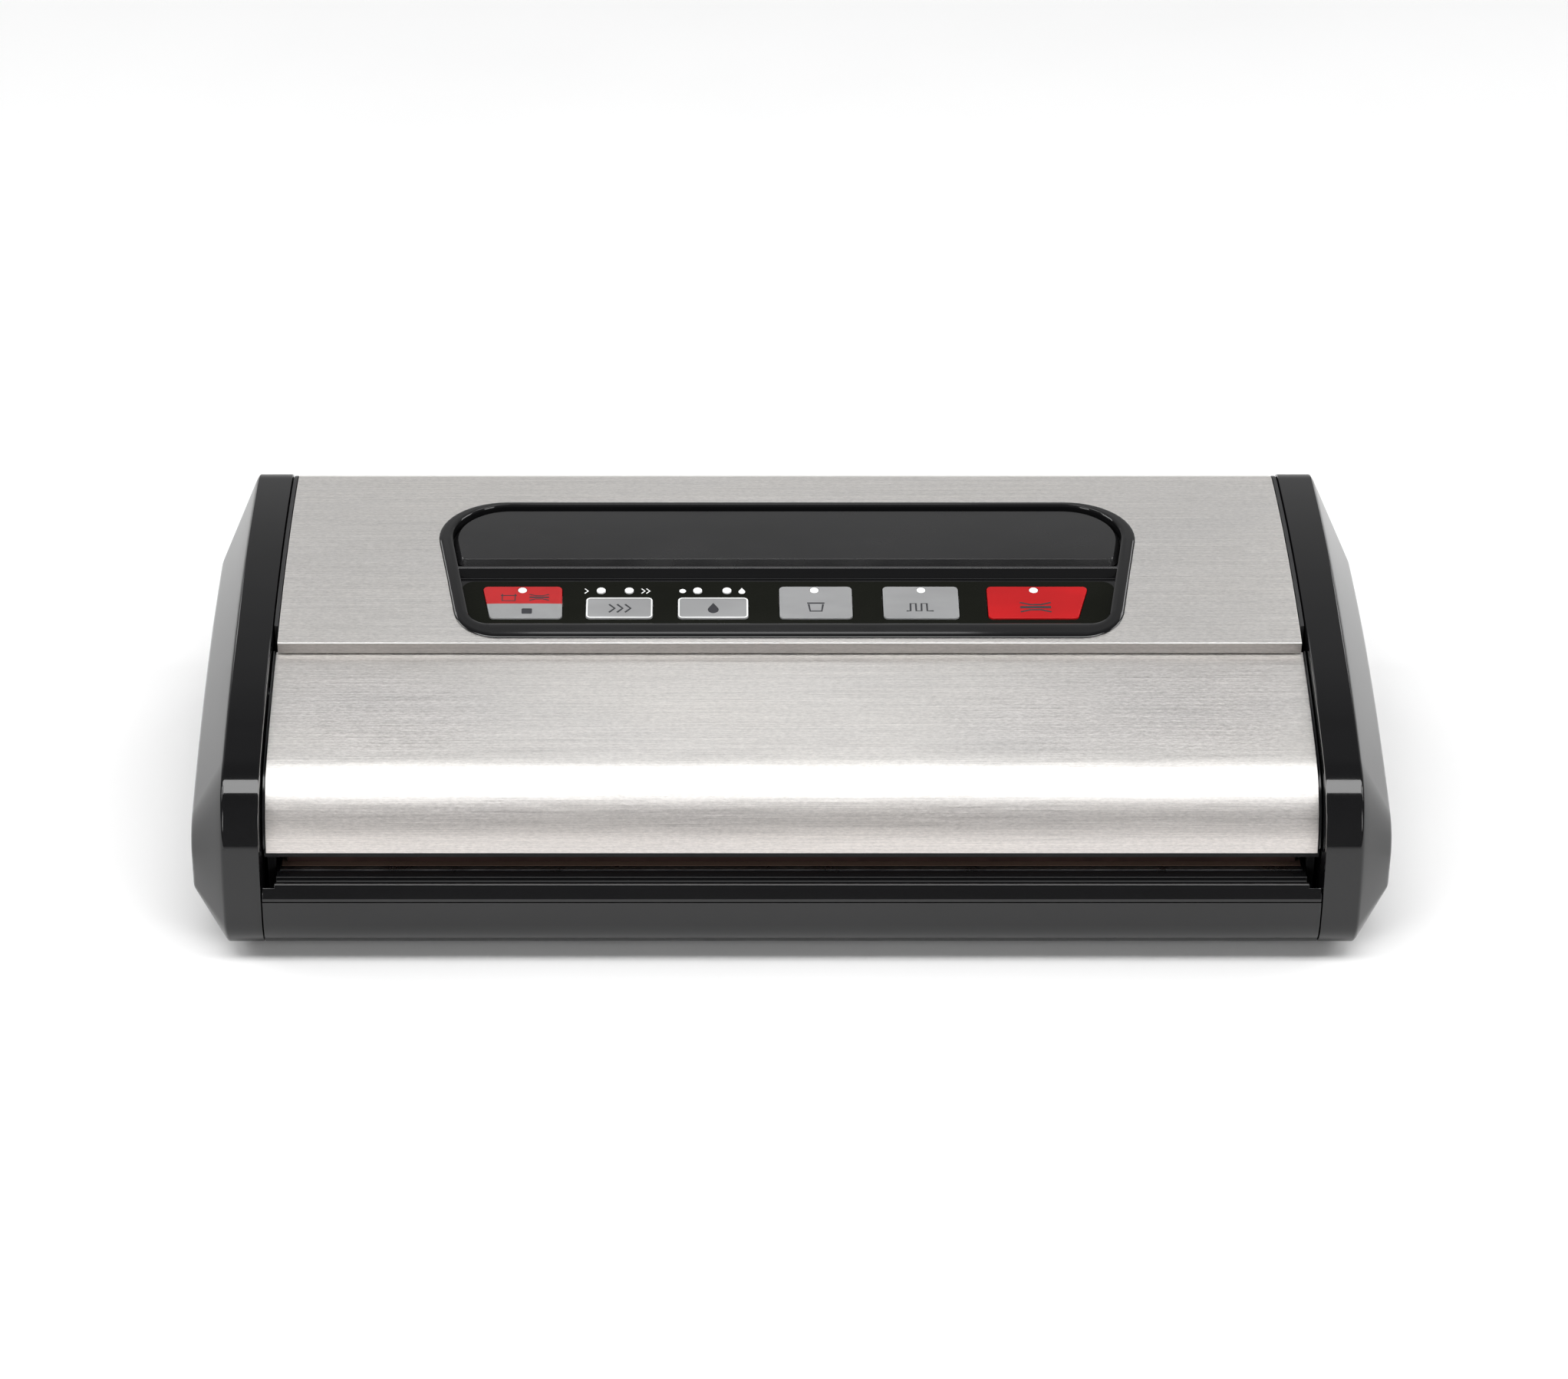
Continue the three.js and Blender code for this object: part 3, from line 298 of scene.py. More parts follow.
def soften(piece, radius, segments=3):
    """Rounds a piece's hard edges and shades the rest smooth."""
    tidy(piece)
    if radius:
        bevel = piece.modifiers.new("edge_radius", "BEVEL")
        bevel.width = radius * MM
        bevel.segments = segments
        bevel.limit_method = "ANGLE"
        bevel.angle_limit = SMOOTH_ANGLE
        bake_modifiers(piece)
    return smooth(piece)


def smooth(piece):
    """Shades a piece smooth between its hard edges, its larger faces leading."""
    piece.data.shade_smooth()
    piece.data.set_sharp_from_angle(angle=SMOOTH_ANGLE)
    weighted = piece.modifiers.new("weighted", "WEIGHTED_NORMAL")
    weighted.mode = "FACE_AREA"
    weighted.weight = AREA_WEIGHT
    weighted.keep_sharp = True
    bake_modifiers(piece)
    return piece


def crown_normals(piece, reach=12):
    """Shades the faces that follow the machine's top exactly as its arc runs."""
    mesh = piece.data
    centre = Vector((TOP[0] * MM, TOP[1] * MM))
    limit = math.cos(math.radians(reach))
    normals = [Vector(corner.vector) for corner in mesh.corner_normals]

    def radial(point):
        out = (Vector((point.y, point.z)) - centre).normalized()
        return Vector((0, out.x, out.y))

    for polygon in mesh.polygons:
        if polygon.normal.dot(radial(polygon.center)) > limit:
            for loop in polygon.loop_indices:
                normals[loop] = radial(mesh.vertices[mesh.loops[loop].vertex_index].co)
    mesh.normals_split_custom_set(normals)
    return piece


def place(piece, body, slot, finish, *nodes):
    """Gives a piece its body and material, and hides the CAD nodes that it stands for; slot is not used.
    """
    piece.data.materials.clear()
    piece.data.materials.append(finish)
    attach(piece, body)
    if nodes:
        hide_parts(*nodes)
    return piece


body_of_node = {n: body for body, nodes in frame["record"]["behaviour"]["bodies"].items() for n in nodes}


def refine(node, slot, finish, radius=0.25, segments=2):
    """The CAD node's own shape with its edges rounded, as the piece that is shown."""
    piece = bpy.data.objects.new(node + "_form", frame["nodes"][node].data.copy())
    piece.data.name = piece.name
    bpy.context.scene.collection.objects.link(piece)
    soften(piece, radius, segments)
    return place(piece, body_of_node[node], slot, finish, node)


# ---- Materials ------------------------------------------------------------------------------------
class Material:
    """A node material under construction: each call adds a node and returns its output."""

    def __init__(self, name, **settings):
        self.material = bpy.data.materials.new(name)
        self.material.use_nodes = True
        self.nodes = self.material.node_tree.nodes
        self.links = self.material.node_tree.links
        self.shader = self.nodes["Principled BSDF"]
        for socket, value in settings.items():
            self.shader.inputs[socket.replace("_", " ")].default_value = value
        self.place = self.nodes.new("ShaderNodeTexCoord").outputs["Object"]

    def node(self, kind, inputs=None, **properties):
        made = self.nodes.new("ShaderNode" + kind)
        for key, value in properties.items():
            setattr(made, key, value)
        for socket, value in (inputs or {}).items():
            if isinstance(value, bpy.types.NodeSocket):
                self.links.new(value, made.inputs[socket])
            else:
                made.inputs[socket].default_value = value
        return made

    def stretched(self, x, y, z):
        """Object coordinates scaled per axis, in cells per millimetre."""
        scale = tuple(c / MM for c in (x, y, z))
        return self.node("Mapping", {"Vector": self.place, "Scale": scale}).outputs["Vector"]

    def noise(self, cells, detail=4.0, rough=0.6):
        """Noise with a number of cells per millimetre along each axis."""
        where = self.stretched(*cells)
        settings = {"Vector": where, "Scale": 1.0, "Detail": detail, "Roughness": rough}
        return self.node("TexNoise", settings).outputs["Fac"]

    def spread(self, value, low, high, to_low, to_high):
        settings = {"Value": value, "From Min": low, "From Max": high, "To Min": to_low, "To Max": to_high}
        return self.node("MapRange", settings).outputs["Result"]

    def ramp(self, value, *stops):
        """Colours by value: each stop is (position, colour)."""
        made = self.node("ValToRGB", {"Fac": value})
        elements = made.color_ramp.elements
        while len(elements) < len(stops):
            elements.new(0.5)
        for element, (position, colour) in zip(elements, stops):
            element.position = position
            element.color = (*colour, 1.0)
        return made.outputs["Color"]

    def mix(self, factor, a, b, blend="MIX"):
        made = self.node("Mix", data_type="RGBA", blend_type=blend)
        for socket, value in ((0, factor), (6, a), (7, b)):
            if isinstance(value, bpy.types.NodeSocket):
                self.links.new(value, made.inputs[socket])
            else:
                made.inputs[socket].default_value = value if socket == 0 else (*value, 1.0)
        return made.outputs[2]

    def drive(self, socket, value):
        self.links.new(value, self.shader.inputs[socket])

    def bump(self, height, strength, depth):
        """Relief from a height value; depth is in millimetres."""
        settings = {"Height": height, "Strength": strength, "Distance": depth * MM}
        self.drive("Normal", self.node("Bump", settings).outputs["Normal"])

    def edges(self, radius, low=0.86, high=0.995):
        """1 on edges and 0 on flat ground, from how far a rounded normal leans."""
        bevel = self.node("Bevel", {"Radius": radius * MM}, samples=4).outputs["Normal"]
        flat = self.node("NewGeometry").outputs["Normal"]
        settings = {0: bevel, 1: flat}
        lean = self.node("VectorMath", settings, operation="DOT_PRODUCT").outputs["Value"]
        return self.spread(lean, low, high, 1.0, 0.0)


FRONT_REFLECTION_TINT = (1.0, 0.97, 0.96)  # painted warm reflection tint of steel that faces the front
LEAST_SKIN = 0.03  # no plastic is a perfect mirror


def shade(colour, factor):
    return tuple(min(1.0, c * factor) for c in colour)


def brushed_steel(name, colour, roughness, fold=1.0):
    """Sheet steel brushed along X, with streaks and haze; a face turned to the front gets a painted warm
    reflection tint, darkened further into painted shade when fold is below 1.
    """
    m = Material(name, Metallic=1.0, Anisotropic=0.6, Anisotropic_Rotation=0.25)
    m.drive("Tangent", m.node("CombineXYZ", {"X": 1.0}).outputs["Vector"])
    dashes = m.noise((0.6, 2.2, 2.2), 4.0, 0.7)
    streaks = m.noise((0.02, 5.0, 5.0), 4.0, 0.6)
    clouds = m.noise((0.012, 0.03, 0.03), 2.0)
    both = m.mix(0.5, dashes, streaks)
    tone = m.ramp(both, (0.34, shade(colour, 0.76)), (0.66, shade(colour, 1.15)))
    haze = m.ramp(clouds, (0.3, (0.96, 0.96, 0.96)), (0.7, (1.0, 0.995, 0.985)))
    # Painted warm reflection tint and painted shade: the more a face turns to the front, the more its
    # colour takes the tint times fold.
    normal = m.node("NewGeometry").outputs["Normal"]
    facing = m.node("SeparateXYZ", {"Vector": normal}).outputs["Y"]
    front_shade_mask = m.spread(facing, -0.95, -0.7, 0.0, 1.0)
    darkened_tone = m.ramp(front_shade_mask, (0.0, shade(FRONT_REFLECTION_TINT, fold)), (1.0, (1.0, 1.0, 1.0)))
    m.drive("Base Color", m.mix(1.0, m.mix(1.0, tone, haze, "MULTIPLY"), darkened_tone, "MULTIPLY"))
    m.drive("Roughness", m.spread(both, 0.3, 0.7, roughness - 0.07, roughness + 0.08))
    m.bump(both, 1.0, 0.032)
    return m.material


def moulded(name, colour, roughness, texture=0.1, cells=1.2, wear=0.2, specular=0.5):
    """Moulded plastic: slight flow lines in its colour, a fine skin and edges polished by handling."""
    m = Material(name, IOR=1.5, Specular_IOR_Level=specular)
    flow = m.noise((0.02, 0.05, 0.05), 3.0)
    base = m.ramp(flow, (0.3, shade(colour, 0.86)), (0.7, shade(colour, 1.12)))
    worn = m.edges(0.7)
    edge = m.spread(worn, 0.0, 1.0, 0.0, wear)
    m.drive("Base Color", m.mix(edge, base, shade(colour, 2.2)))
    smudge = m.noise((0.05, 0.06, 0.06), 2.0)
    m.drive("Roughness", m.spread(smudge, 0.3, 0.75, roughness * 0.85, roughness * 1.2 + 0.01))
    skin = m.noise((cells, cells, cells), 3.0, 0.7)
    m.bump(skin, max(LEAST_SKIN, texture), 0.02)
    return m.material


def split_film(name, front_colour, back_colour, split_y):
    """Printed film in two colours that meet on a line across the machine."""
    m = Material(name, IOR=1.5)
    where = m.node("SeparateXYZ", {"Vector": m.place}).outputs["Y"]
    share = m.spread(where, (split_y - 0.05) * MM, (split_y + 0.05) * MM, 0.0, 1.0)
    ink_tone = m.mix(share, front_colour, back_colour)
    flow = m.noise((0.2, 0.2, 0.2), 3.0)
    cloud = m.ramp(flow, (0.3, (0.9, 0.9, 0.9)), (0.7, (1.0, 1.0, 1.0)))
    m.drive("Base Color", m.mix(1.0, ink_tone, cloud, "MULTIPLY"))
    m.drive("Roughness", m.spread(flow, 0.3, 0.7, 0.34, 0.46))
    m.bump(m.noise((1.5, 1.5, 1.5), 3.0), 0.12, 0.02)
    return m.material


def rubbery(name, colour, roughness=0.8):
    """Rubber or silicone: dull, with a powdery bloom and moulding pits."""
    m = Material(name, Sheen_Weight=0.12, Sheen_Roughness=0.5, IOR=1.45)
    bloom = m.noise((0.12, 0.12, 0.12), 5.0)
    m.drive("Base Color", m.ramp(bloom, (0.35, shade(colour, 0.8)), (0.7, shade(colour, 1.35))))
    m.drive("Roughness", m.spread(bloom, 0.3, 0.7, roughness - 0.08, roughness + 0.08))
    m.bump(m.noise((3.0, 3.0, 3.0), 2.0), 0.15, 0.03)
    return m.material


def bare_metal(name, colour, roughness, lines=(6.0, 0.4, 6.0)):
    """Turned or rolled metal with tool lines, stains and brighter edges."""
    m = Material(name, Metallic=1.0)
    tool = m.noise(lines, 4.0, 0.65)
    stain = m.noise((0.08, 0.08, 0.08), 4.0)
    tone = m.ramp(tool, (0.3, shade(colour, 0.8)), (0.7, shade(colour, 1.1)))
    darkened_tone = m.mix(m.spread(stain, 0.35, 0.75, 0.0, 0.35), tone, shade(colour, 0.55))
    m.drive("Base Color", m.mix(m.edges(0.4), darkened_tone, shade(colour, 1.25)))
    m.drive("Roughness", m.spread(stain, 0.3, 0.7, roughness - 0.06, roughness + 0.12))
    m.bump(tool, 0.2, 0.02)
    return m.material


# ---- End caps -------------------------------------------------------------------------------------
SIDES = {"left": -1, "right": 1}
BEVEL_DROP, BEVEL_FRONT, BEVEL_RISE = 19.5, 14.6, 16.0
BEVEL_REAR_TOP, BEVEL_REAR_FOOT, BEVEL_SLANT = 36.0, 18.0, 22.0
BEVEL_R, BEVEL_BROW_R = 3.0, 12.0
FOOT_CENTRE_Z = FLOOR_Z + FOOT_R
CAP_WINDOW = (10, 75, 12, 60)  # opening in a cap's inner wall: Y from and to, Z from and to
CAP_WINDOW_R = 5
BUSH_HOLE_R = 5.3


def strip_outline(inset=0.0):
    """Side outline of an end cap's flat strip."""
    return [
        *arc((HALF_DEPTH - FOOT_R, FOOT_CENTRE_Z), FOOT_R - inset, -90, 0, 12),
        *arc(BACK, BACK_R - inset, 0, BACK_TURN, 24),
        *arc(TOP, TOP_R - inset, BACK_TURN, BROW_TURN, 56)[1:],
        *arc(BROW, BROW_R - inset, BROW_TURN, NOSE_TURN, 44)[1:],
        *arc(NOSE, NOSE_R - inset, NOSE_TURN, 180, 10)[1:],
        *arc((FOOT_R - HALF_DEPTH, FOOT_CENTRE_Z), FOOT_R - inset, 180, 270, 14)[1:],
    ]


def bevel_outline(inset=0.0):
    """The smaller outline that the bevel runs in to, point for point."""
    top_r = TOP_R - BEVEL_DROP
    front_y = BEVEL_FRONT - HALF_DEPTH
    brow_turn = math.degrees(math.acos((front_y + BEVEL_BROW_R - TOP[0]) / (top_r - BEVEL_BROW_R)))
    brow = step_from(TOP, top_r - BEVEL_BROW_R, brow_turn)
    low = FLOOR_Z + BEVEL_RISE + BEVEL_R
    rear_y = HALF_DEPTH - BEVEL_REAR_TOP - BEVEL_R
    rear_turn = turn_at(rear_y, BEVEL_DROP)
    rear = (rear_y, top_at(rear_y, BEVEL_DROP + BEVEL_R))
    radius = BEVEL_R - inset
    front = [(front_y + inset, brow[1] + (low - brow[1]) * i / 10) for i in range(1, 11)]
    return [
        *arc((HALF_DEPTH - BEVEL_REAR_FOOT - BEVEL_R, low), radius, -90, BEVEL_SLANT, 12),
        *arc(rear, radius, BEVEL_SLANT, rear_turn, 24),
        *arc(TOP, top_r - inset, rear_turn, brow_turn, 56)[1:],
        *arc(brow, BEVEL_BROW_R - inset, brow_turn, 180, 44)[1:],
        *front,
        *arc((front_y + BEVEL_R, low), radius, 180, 270, 14)[1:],
    ]


def cap_section(side, x, share, inset=0.0):
    """The cap's outline at one X, a share of the way from the strip to the bevel's end."""
    pairs = zip(strip_outline(inset), bevel_outline(inset))
    return [(side * x, a + (c - a) * share, b + (d - b) * share) for (a, b), (c, d) in pairs]


def along_bevel(x):
    return (x - STRIP_OUTER) / (HALF_WIDTH - STRIP_OUTER)


def end_cap(name, side, finish):
    """A hollow cap, lofted outwards through sections (X, share of the bevel, inset)."""
    edge = STRIP_OUTER
    bevel_xs = [edge + 0.7 + 1.6 * i for i in range(7)]
    rim = [(CAP_INNER, 0, 0.6), (CAP_INNER + 0.18, 0, 0.18), (CAP_INNER + 0.6, 0, 0)]
    corner = [(edge - 0.7, 0, 0), (edge - 0.3, 0.004, 0), (edge + 0.15, 0.024, 0)]
    face = [(x, along_bevel(x), 0) for x in bevel_xs]
    end = [(HALF_WIDTH - 0.25, along_bevel(HALF_WIDTH - 0.22), 0), (HALF_WIDTH, 1, 0.5)]
    shell = loft(name + "_end_cap_form", [cap_section(side, *s) for s in rim + corner + face + end])
    inner = [(CAP_INNER + WALL, 0), (edge - 1, 0), (HALF_WIDTH - WALL, 1)]
    hollow = loft("hollow", [cap_section(side, x, share, WALL) for x, share in inner])
    reach = sorted((side * (CAP_INNER - 1), side * (CAP_INNER + WALL + 1)))
    window = prism("window", rectangle(*CAP_WINDOW, CAP_WINDOW_R), *reach, "x")
    bush_hole = prism("bush_hole", circle(BUSH_HOLE_R, HINGE_Y, HINGE_Z), *reach, "x")
    cut(shell, hollow, window, bush_hole)
    soften(shell, 0)
    return place(shell, "housing", "gloss_black", finish, name + "_end_cap")


# ---- Steel sheets ---------------------------------------------------------------------------------
PANEL_X = panel_high.x
PANEL_BACK_FOOT = 25  # angle at which the sheet's rear edge ends on the back's curve
FOLD_R = 0.5
FOLD_OVERLAP = 0.6  # how far the folded face ends above the lid's skin
OPENING_INSET = 1.7  # how far inside the keypad surround's edge the sheet is cut out
HEM = 1.4  # how far the lid's sheet turns in under its foot

SURROUND_NARROW = 107.0  # half width of the surround at its front, before its corners are rounded
SURROUND_WIDE = 119.4  # the same at its back
SURROUND_FRONT_R, SURROUND_BACK_R = 15, 22
SURROUND_LEAST_R = 3


def surround_outline(front, back, side, r_front, r_back, steps=14):
    """Plan of the keypad surround, or one inside it: a long form that narrows towards the front."""

    def half(y):
        share = (y - bezel_low.y) / (bezel_high.y - bezel_low.y)
        return SURROUND_NARROW + (SURROUND_WIDE - SURROUND_NARROW) * share - side

    corners = [(-half(front), front, r_front), (half(front), front, r_front)]
    corners += [(half(back), back, r_back), (-half(back), back, r_back)]
    return rounded(corners, steps)


def surround_inset(inset):
    """The surround's plan drawn in evenly."""
    front, back = bezel_low.y + inset, bezel_high.y - inset
    radii = [max(r - inset, SURROUND_LEAST_R) for r in (SURROUND_FRONT_R, SURROUND_BACK_R)]
    return surround_outline(front, back, inset, *radii)


def rear_panel(finish):
    """The fixed sheet: over the back, along the top and folded down at the step."""
    outer = REAR_PANEL_INSET
    inner = outer + SHEET
    fold_y = STEP_Y + FOLD_R
    fold = (fold_y, top_at(fold_y, outer) - FOLD_R)
    foot = top_at(STEP_Y, LID_INSET) + FOLD_OVERLAP
    skin = [
        *arc(BACK, BACK_R - outer, PANEL_BACK_FOOT, BACK_TURN, 18),
        *top_arc(BACK_Y - 3, fold_y, outer, 44),
        *arc(fold, FOLD_R, turn_at(fold_y, outer), 180, 8)[1:],
        (STEP_Y, foot),
    ]
    lining = [
        (STEP_Y + SHEET, foot),
        *reversed(top_arc(BACK_Y - 3, STEP_Y + SHEET, inner, 44)),
        *reversed(arc(BACK, BACK_R - inner, PANEL_BACK_FOOT, BACK_TURN, 18)),
    ]
    sheet = prism("rear_top_panel_form", skin + lining, -PANEL_X, PANEL_X, "x")
    cut(sheet, column(surround_inset(OPENING_INSET)))
    crown_normals(soften(sheet, 0.14, 2))
    return place(sheet, "housing", "brushed_steel", finish, "rear_top_panel")


def lid_cover(finish):
    """The lid's sheet, hemmed under at its foot."""
    foot_z = cover_low.z
    hem = nose_at(foot_z, LID_FRONT_INSET + SHEET) + HEM
    rear_y = cover_high.y
    outline = [
        *lid_skin(rear_y, foot_z, 0),
        (hem, foot_z),
        (hem, foot_z + SHEET),
        *reversed(lid_skin(rear_y, foot_z + SHEET, SHEET)),
    ]
    sheet = prism("lid_cover_form", outline, -cover_high.x, cover_high.x, "x")
    soften(sheet, 0.2, 3)
    return place(sheet, "lid", "brushed_steel", finish, "lid_cover")


# ---- Keypad ---------------------------------------------------------------------------------------
def on_top(outline, depth):
    """A plan outline laid on the machine's curved top, at a depth below it."""
    return [(x, y, top_at(y) - depth) for x, y in outline]


def crowned(name, outline_at, profile):
    """A solid that follows the top's curve; its rings (inset, depth) run from below to the crest."""
    return loft(name, [on_top(outline_at(inset), depth) for inset, depth in profile])


def layer(name, outline, upper, lower):
    """The part of a plan outline between two depths below the top."""
    ys = [y for _, y in outline]
    xs = [x for x, _ in outline]
    low, high = min(ys) - 1, max(ys) + 1
    steps = max(2, round((high - low) / 2.5))
    band = [*top_arc(high, low, upper, steps), *top_arc(low, high, lower, steps)]
    slab = prism(name, band, min(xs) - 1, max(xs) + 1, "x")
    return trim(slab, column(outline))


def ring_loft(name, sections):
    """A closed ring: the last section joins the first."""
    count = len(sections[0])
    vertices = [point for section in sections for point in section]
    faces = []
    for s in range(len(sections)):
        after = (s + 1) % len(sections)
        for i in range(count):
            j = (i + 1) % count
            faces.append((s * count + i, s * count + j, after * count + j, after * count + i))
    return piece_from(name, vertices, faces)


def between(a, b, share):
    return tuple(p + (q - p) * share for p, q in zip(a, b))


# Plans as (front, back, side inset, front corner radius, back corner radius)
RIM_WIDTH = 4.6
INNER_FRONT_R, INNER_BACK_R = 7, 19
RIM_OUTER = (bezel_low.y, bezel_high.y, 0, SURROUND_FRONT_R, SURROUND_BACK_R)
RIM_INNER = (label_low.y - GAP, plate_high.y + GAP, RIM_WIDTH, INNER_FRONT_R, INNER_BACK_R)
RIM_UNDER = (bezel_low.y + 2, bezel_high.y - 2, 2, SURROUND_FRONT_R - 2, SURROUND_BACK_R - 2)
KEY_FLOOR_EDGE = 0.9  # share of the way across the rim at which the keys' floor starts
# The rim's crest as (share of the way from its outer to its inner plan, depth below the top)
RIM_PROFILE = [(0, 0.52), (0, 0.22), (0.03, 0.06), (0.09, -0.07), (0.18, -0.16), (0.3, -0.2)]
RIM_PROFILE += [(0.62, -0.2), (0.8, -0.14), (0.92, 0.02), (0.98, 0.28), (1, 0.6), (1, 3.9)]
# Ridge between the window plate and the key label, as (Y, depth below the top)
RIDGE = [(20.2, 3.8), (20.4, 3.0), (20.9, 2.3), (21.6, 1.35), (22.1, 0.85), (22.35, 0.73), (22.6, 0.7)]
RIDGE += [(22.85, 0.75), (23.1, 0.88), (23.7, 1.6), (24.7, 3.0), (24.8, 3.8)]

# Keys: X of the ends of the back edge, then of the front edge, the back edge's Y, and the lamps' X
KEYS = {
    "vacuum_seal_key": ((-100.2, -74.1), (-97.3, -73.8), 14.3, (-87.1,)),
    "speed_key": ((-66.2, -44.3), (-66.2, -44.3), 8.4, (-61.3, -52.1)),
    "food_key": ((-36.2, -13.1), (-36.2, -13.1), 8.4, (-29.7, -20.1)),
    "canister_key": ((-3.0, 20.8), (-3.0, 20.8), 14.3, (8.5,)),
    "pulse_key": ((30.9, 55.6), (30.9, 55.6), 14.3, (43.5,)),
    "seal_key": ((65.0, 98.4), (65.0, 94.2), 14.3, (80.4,)),
}
LAMPS = [x for row in KEYS.values() for x in row[3]]
LAMP_Y = 12.3
LAMP_HOLE_R = 1.62
LAMP_PASSAGE_R = 1.8
KEY_FRONT = -2.4
KEY_CORNER = 1.6
KEY_TOP = 2.6
KEY_THICK = 2.4
KEY_PLAY = 0.22  # gap from a key to the film round it
KEY_PASSAGE = 0.3  # gap from a key to the floor that it passes through
FLOOR_THICK = 1.2
FILM_THICK = 0.3
LABEL_PLAY = 0.1  # gap from the film to the rim
LABEL_BACK_R = 3.9


def key_outline(node, inset=0.0):
    """A key's plan drawn in by an inset, or grown by a negative one."""
    (back_left, back_right), (front_left, front_right), back, _ = KEYS[node]
    corners = [(front_left, KEY_FRONT), (front_right, KEY_FRONT)]
    corners += [(back_right, back), (back_left, back)]
    middle_x = sum(x for x, _ in corners) / 4
    middle_y = sum(y for _, y in corners) / 4

    def moved(x, y):
        return x - inset * math.copysign(1, x - middle_x), y - inset * math.copysign(1, y - middle_y)

    return rounded([(*moved(x, y), max(KEY_CORNER - inset, 0.3)) for x, y in corners], 8)


def pierce(target, play, lamp_radius):
    """Cuts the holes for the keys and for their lamps."""
    for node in KEYS:
        cut(target, column(key_outline(node, -play)))
    for x in LAMPS:
        cut(target, column(circle(lamp_radius, x, LAMP_Y, 20)))


def keypad_surround(finish):
    """A rim with a floor for the keys and a ridge across it."""
    floor_top = PANEL_FLOOR + 2 * FILM_THICK
    floor_foot = floor_top + FLOOR_THICK
    sections = []
    for share, depth in RIM_PROFILE:
        sections.append(on_top(surround_outline(*between(RIM_OUTER, RIM_INNER, share)), depth))
    sections.append(on_top(surround_outline(*RIM_UNDER), floor_foot))
    sections.append(on_top(surround_outline(*RIM_UNDER), RIM_PROFILE[0][1]))
    rim = ring_loft("control_bezel_form", sections)
    floor_plan = surround_outline(*between(RIM_OUTER, RIM_INNER, KEY_FLOOR_EDGE))
    floor = layer("floor", floor_plan, floor_top, floor_foot)
    section = [(y, top_at(y, depth)) for y, depth in RIDGE]
    ridge = prism("ridge", section, -SURROUND_WIDE, SURROUND_WIDE, "x")
    trim(ridge, column(floor_plan))
    join(rim, floor, ridge)
    pierce(rim, KEY_PASSAGE, LAMP_PASSAGE_R)
    crown_normals(soften(rim, 0), 2)
    return place(rim, "housing", "gloss_black", finish, "control_bezel")


PLATE_FRONT_R, PLATE_LEAST_R = 4, 0.6
PLATE_TOP = 1.1  # depth of the plate's face below the top
PLATE_FLAT = 3.0  # inset at which the plate's face is flat
PLATE_STEPS = 9


def window_plate(finish):
    """A dark insert with chamfered sides, standing in the back of the surround."""
    front, back = plate_low.y, RIM_INNER[1]

    def outline(inset):
        depth = back - front - 2 * inset
        r_front = max(PLATE_FRONT_R - inset, PLATE_LEAST_R)
        r_back = min(INNER_BACK_R - inset, 0.7 * depth - 0.3)
        return surround_outline(front + inset, back - inset, RIM_WIDTH + inset, r_front, r_back, 16)

    core = (back - front) / 2 - PLATE_LEAST_R
    under = PANEL_FLOOR + FILM_THICK
    rings = [(core, under), (0.3, under), (0.25, under - 0.2), (0.32, 3.0)]
    rings += [(1.75, 1.25), (1.9, 1.14), (2.2, PLATE_TOP), (PLATE_FLAT, PLATE_TOP)]
    inwards = (core - PLATE_FLAT) / PLATE_STEPS
    rings += [(PLATE_FLAT + inwards * (i + 1), PLATE_TOP) for i in range(PLATE_STEPS)]
    plate = crowned("window_plate_form", outline, rings)
    crown_normals(smooth(plate), 4)
    return place(plate, "housing", "plate_grey", finish, "window_plate")


def key_label(finish):
    """The black film round the keys, its front corners following the rim's."""
    front, back = RIM_INNER[0] + LABEL_PLAY, label_high.y + GAP - LABEL_PLAY
    r_front = INNER_FRONT_R - LABEL_PLAY
    plan = surround_outline(front, back, RIM_WIDTH + LABEL_PLAY, r_front, LABEL_BACK_R)
    sheet = layer("panel_overlay_form", plan, PANEL_FLOOR, PANEL_FLOOR + FILM_THICK)
    pierce(sheet, KEY_PLAY, LAMP_HOLE_R)
    crown_normals(soften(sheet, 0))
    return place(sheet, "housing", "overlay_black", finish, "panel_overlay")


def key_cap(node, slot, finish):
    """A membrane key: a thin cap with a soft rounded edge, pierced where a lamp shines through."""
    back = KEYS[node][2]
    core = (back - KEY_FRONT) / 2 - 0.4
    low = KEY_TOP + KEY_THICK
    flat = 0.34
    rings = [(core, low), (0.2, low), (0, low - 0.2), (0, KEY_TOP + 0.3), (0.05, KEY_TOP + 0.12)]
    rings += [(0.16, KEY_TOP + 0.03), (flat, KEY_TOP)]
    rings += [(flat + (core - flat) * i / 5, KEY_TOP) for i in range(1, 6)]
    cap = crowned(node + "_form", lambda inset: key_outline(node, inset), rings)
    if back > LAMP_Y:
        for x in KEYS[node][3]:
            cut(cap, column(circle(LAMP_HOLE_R, x, LAMP_Y, 24)))
    smooth(cap)
    return place(cap, node, slot, finish, node)


def key_border(node, slot, finish):
    """A printed line round a key's edge."""
    outer, inner = 0.2, 0.62
    low, high = KEY_TOP + INK, KEY_TOP - INK
    rings = [(outer, low), (outer, high), (inner, high), (inner, low)]
    sections = [on_top(key_outline(node, inset), depth) for inset, depth in rings]
    line = ring_loft(node + "_border", sections)
    smooth(line)
    return place(line, node, slot, finish)


# ---- Printed marks --------------------------------------------------------------------------------
INK = 0.03  # how far a print stands above what it is printed on


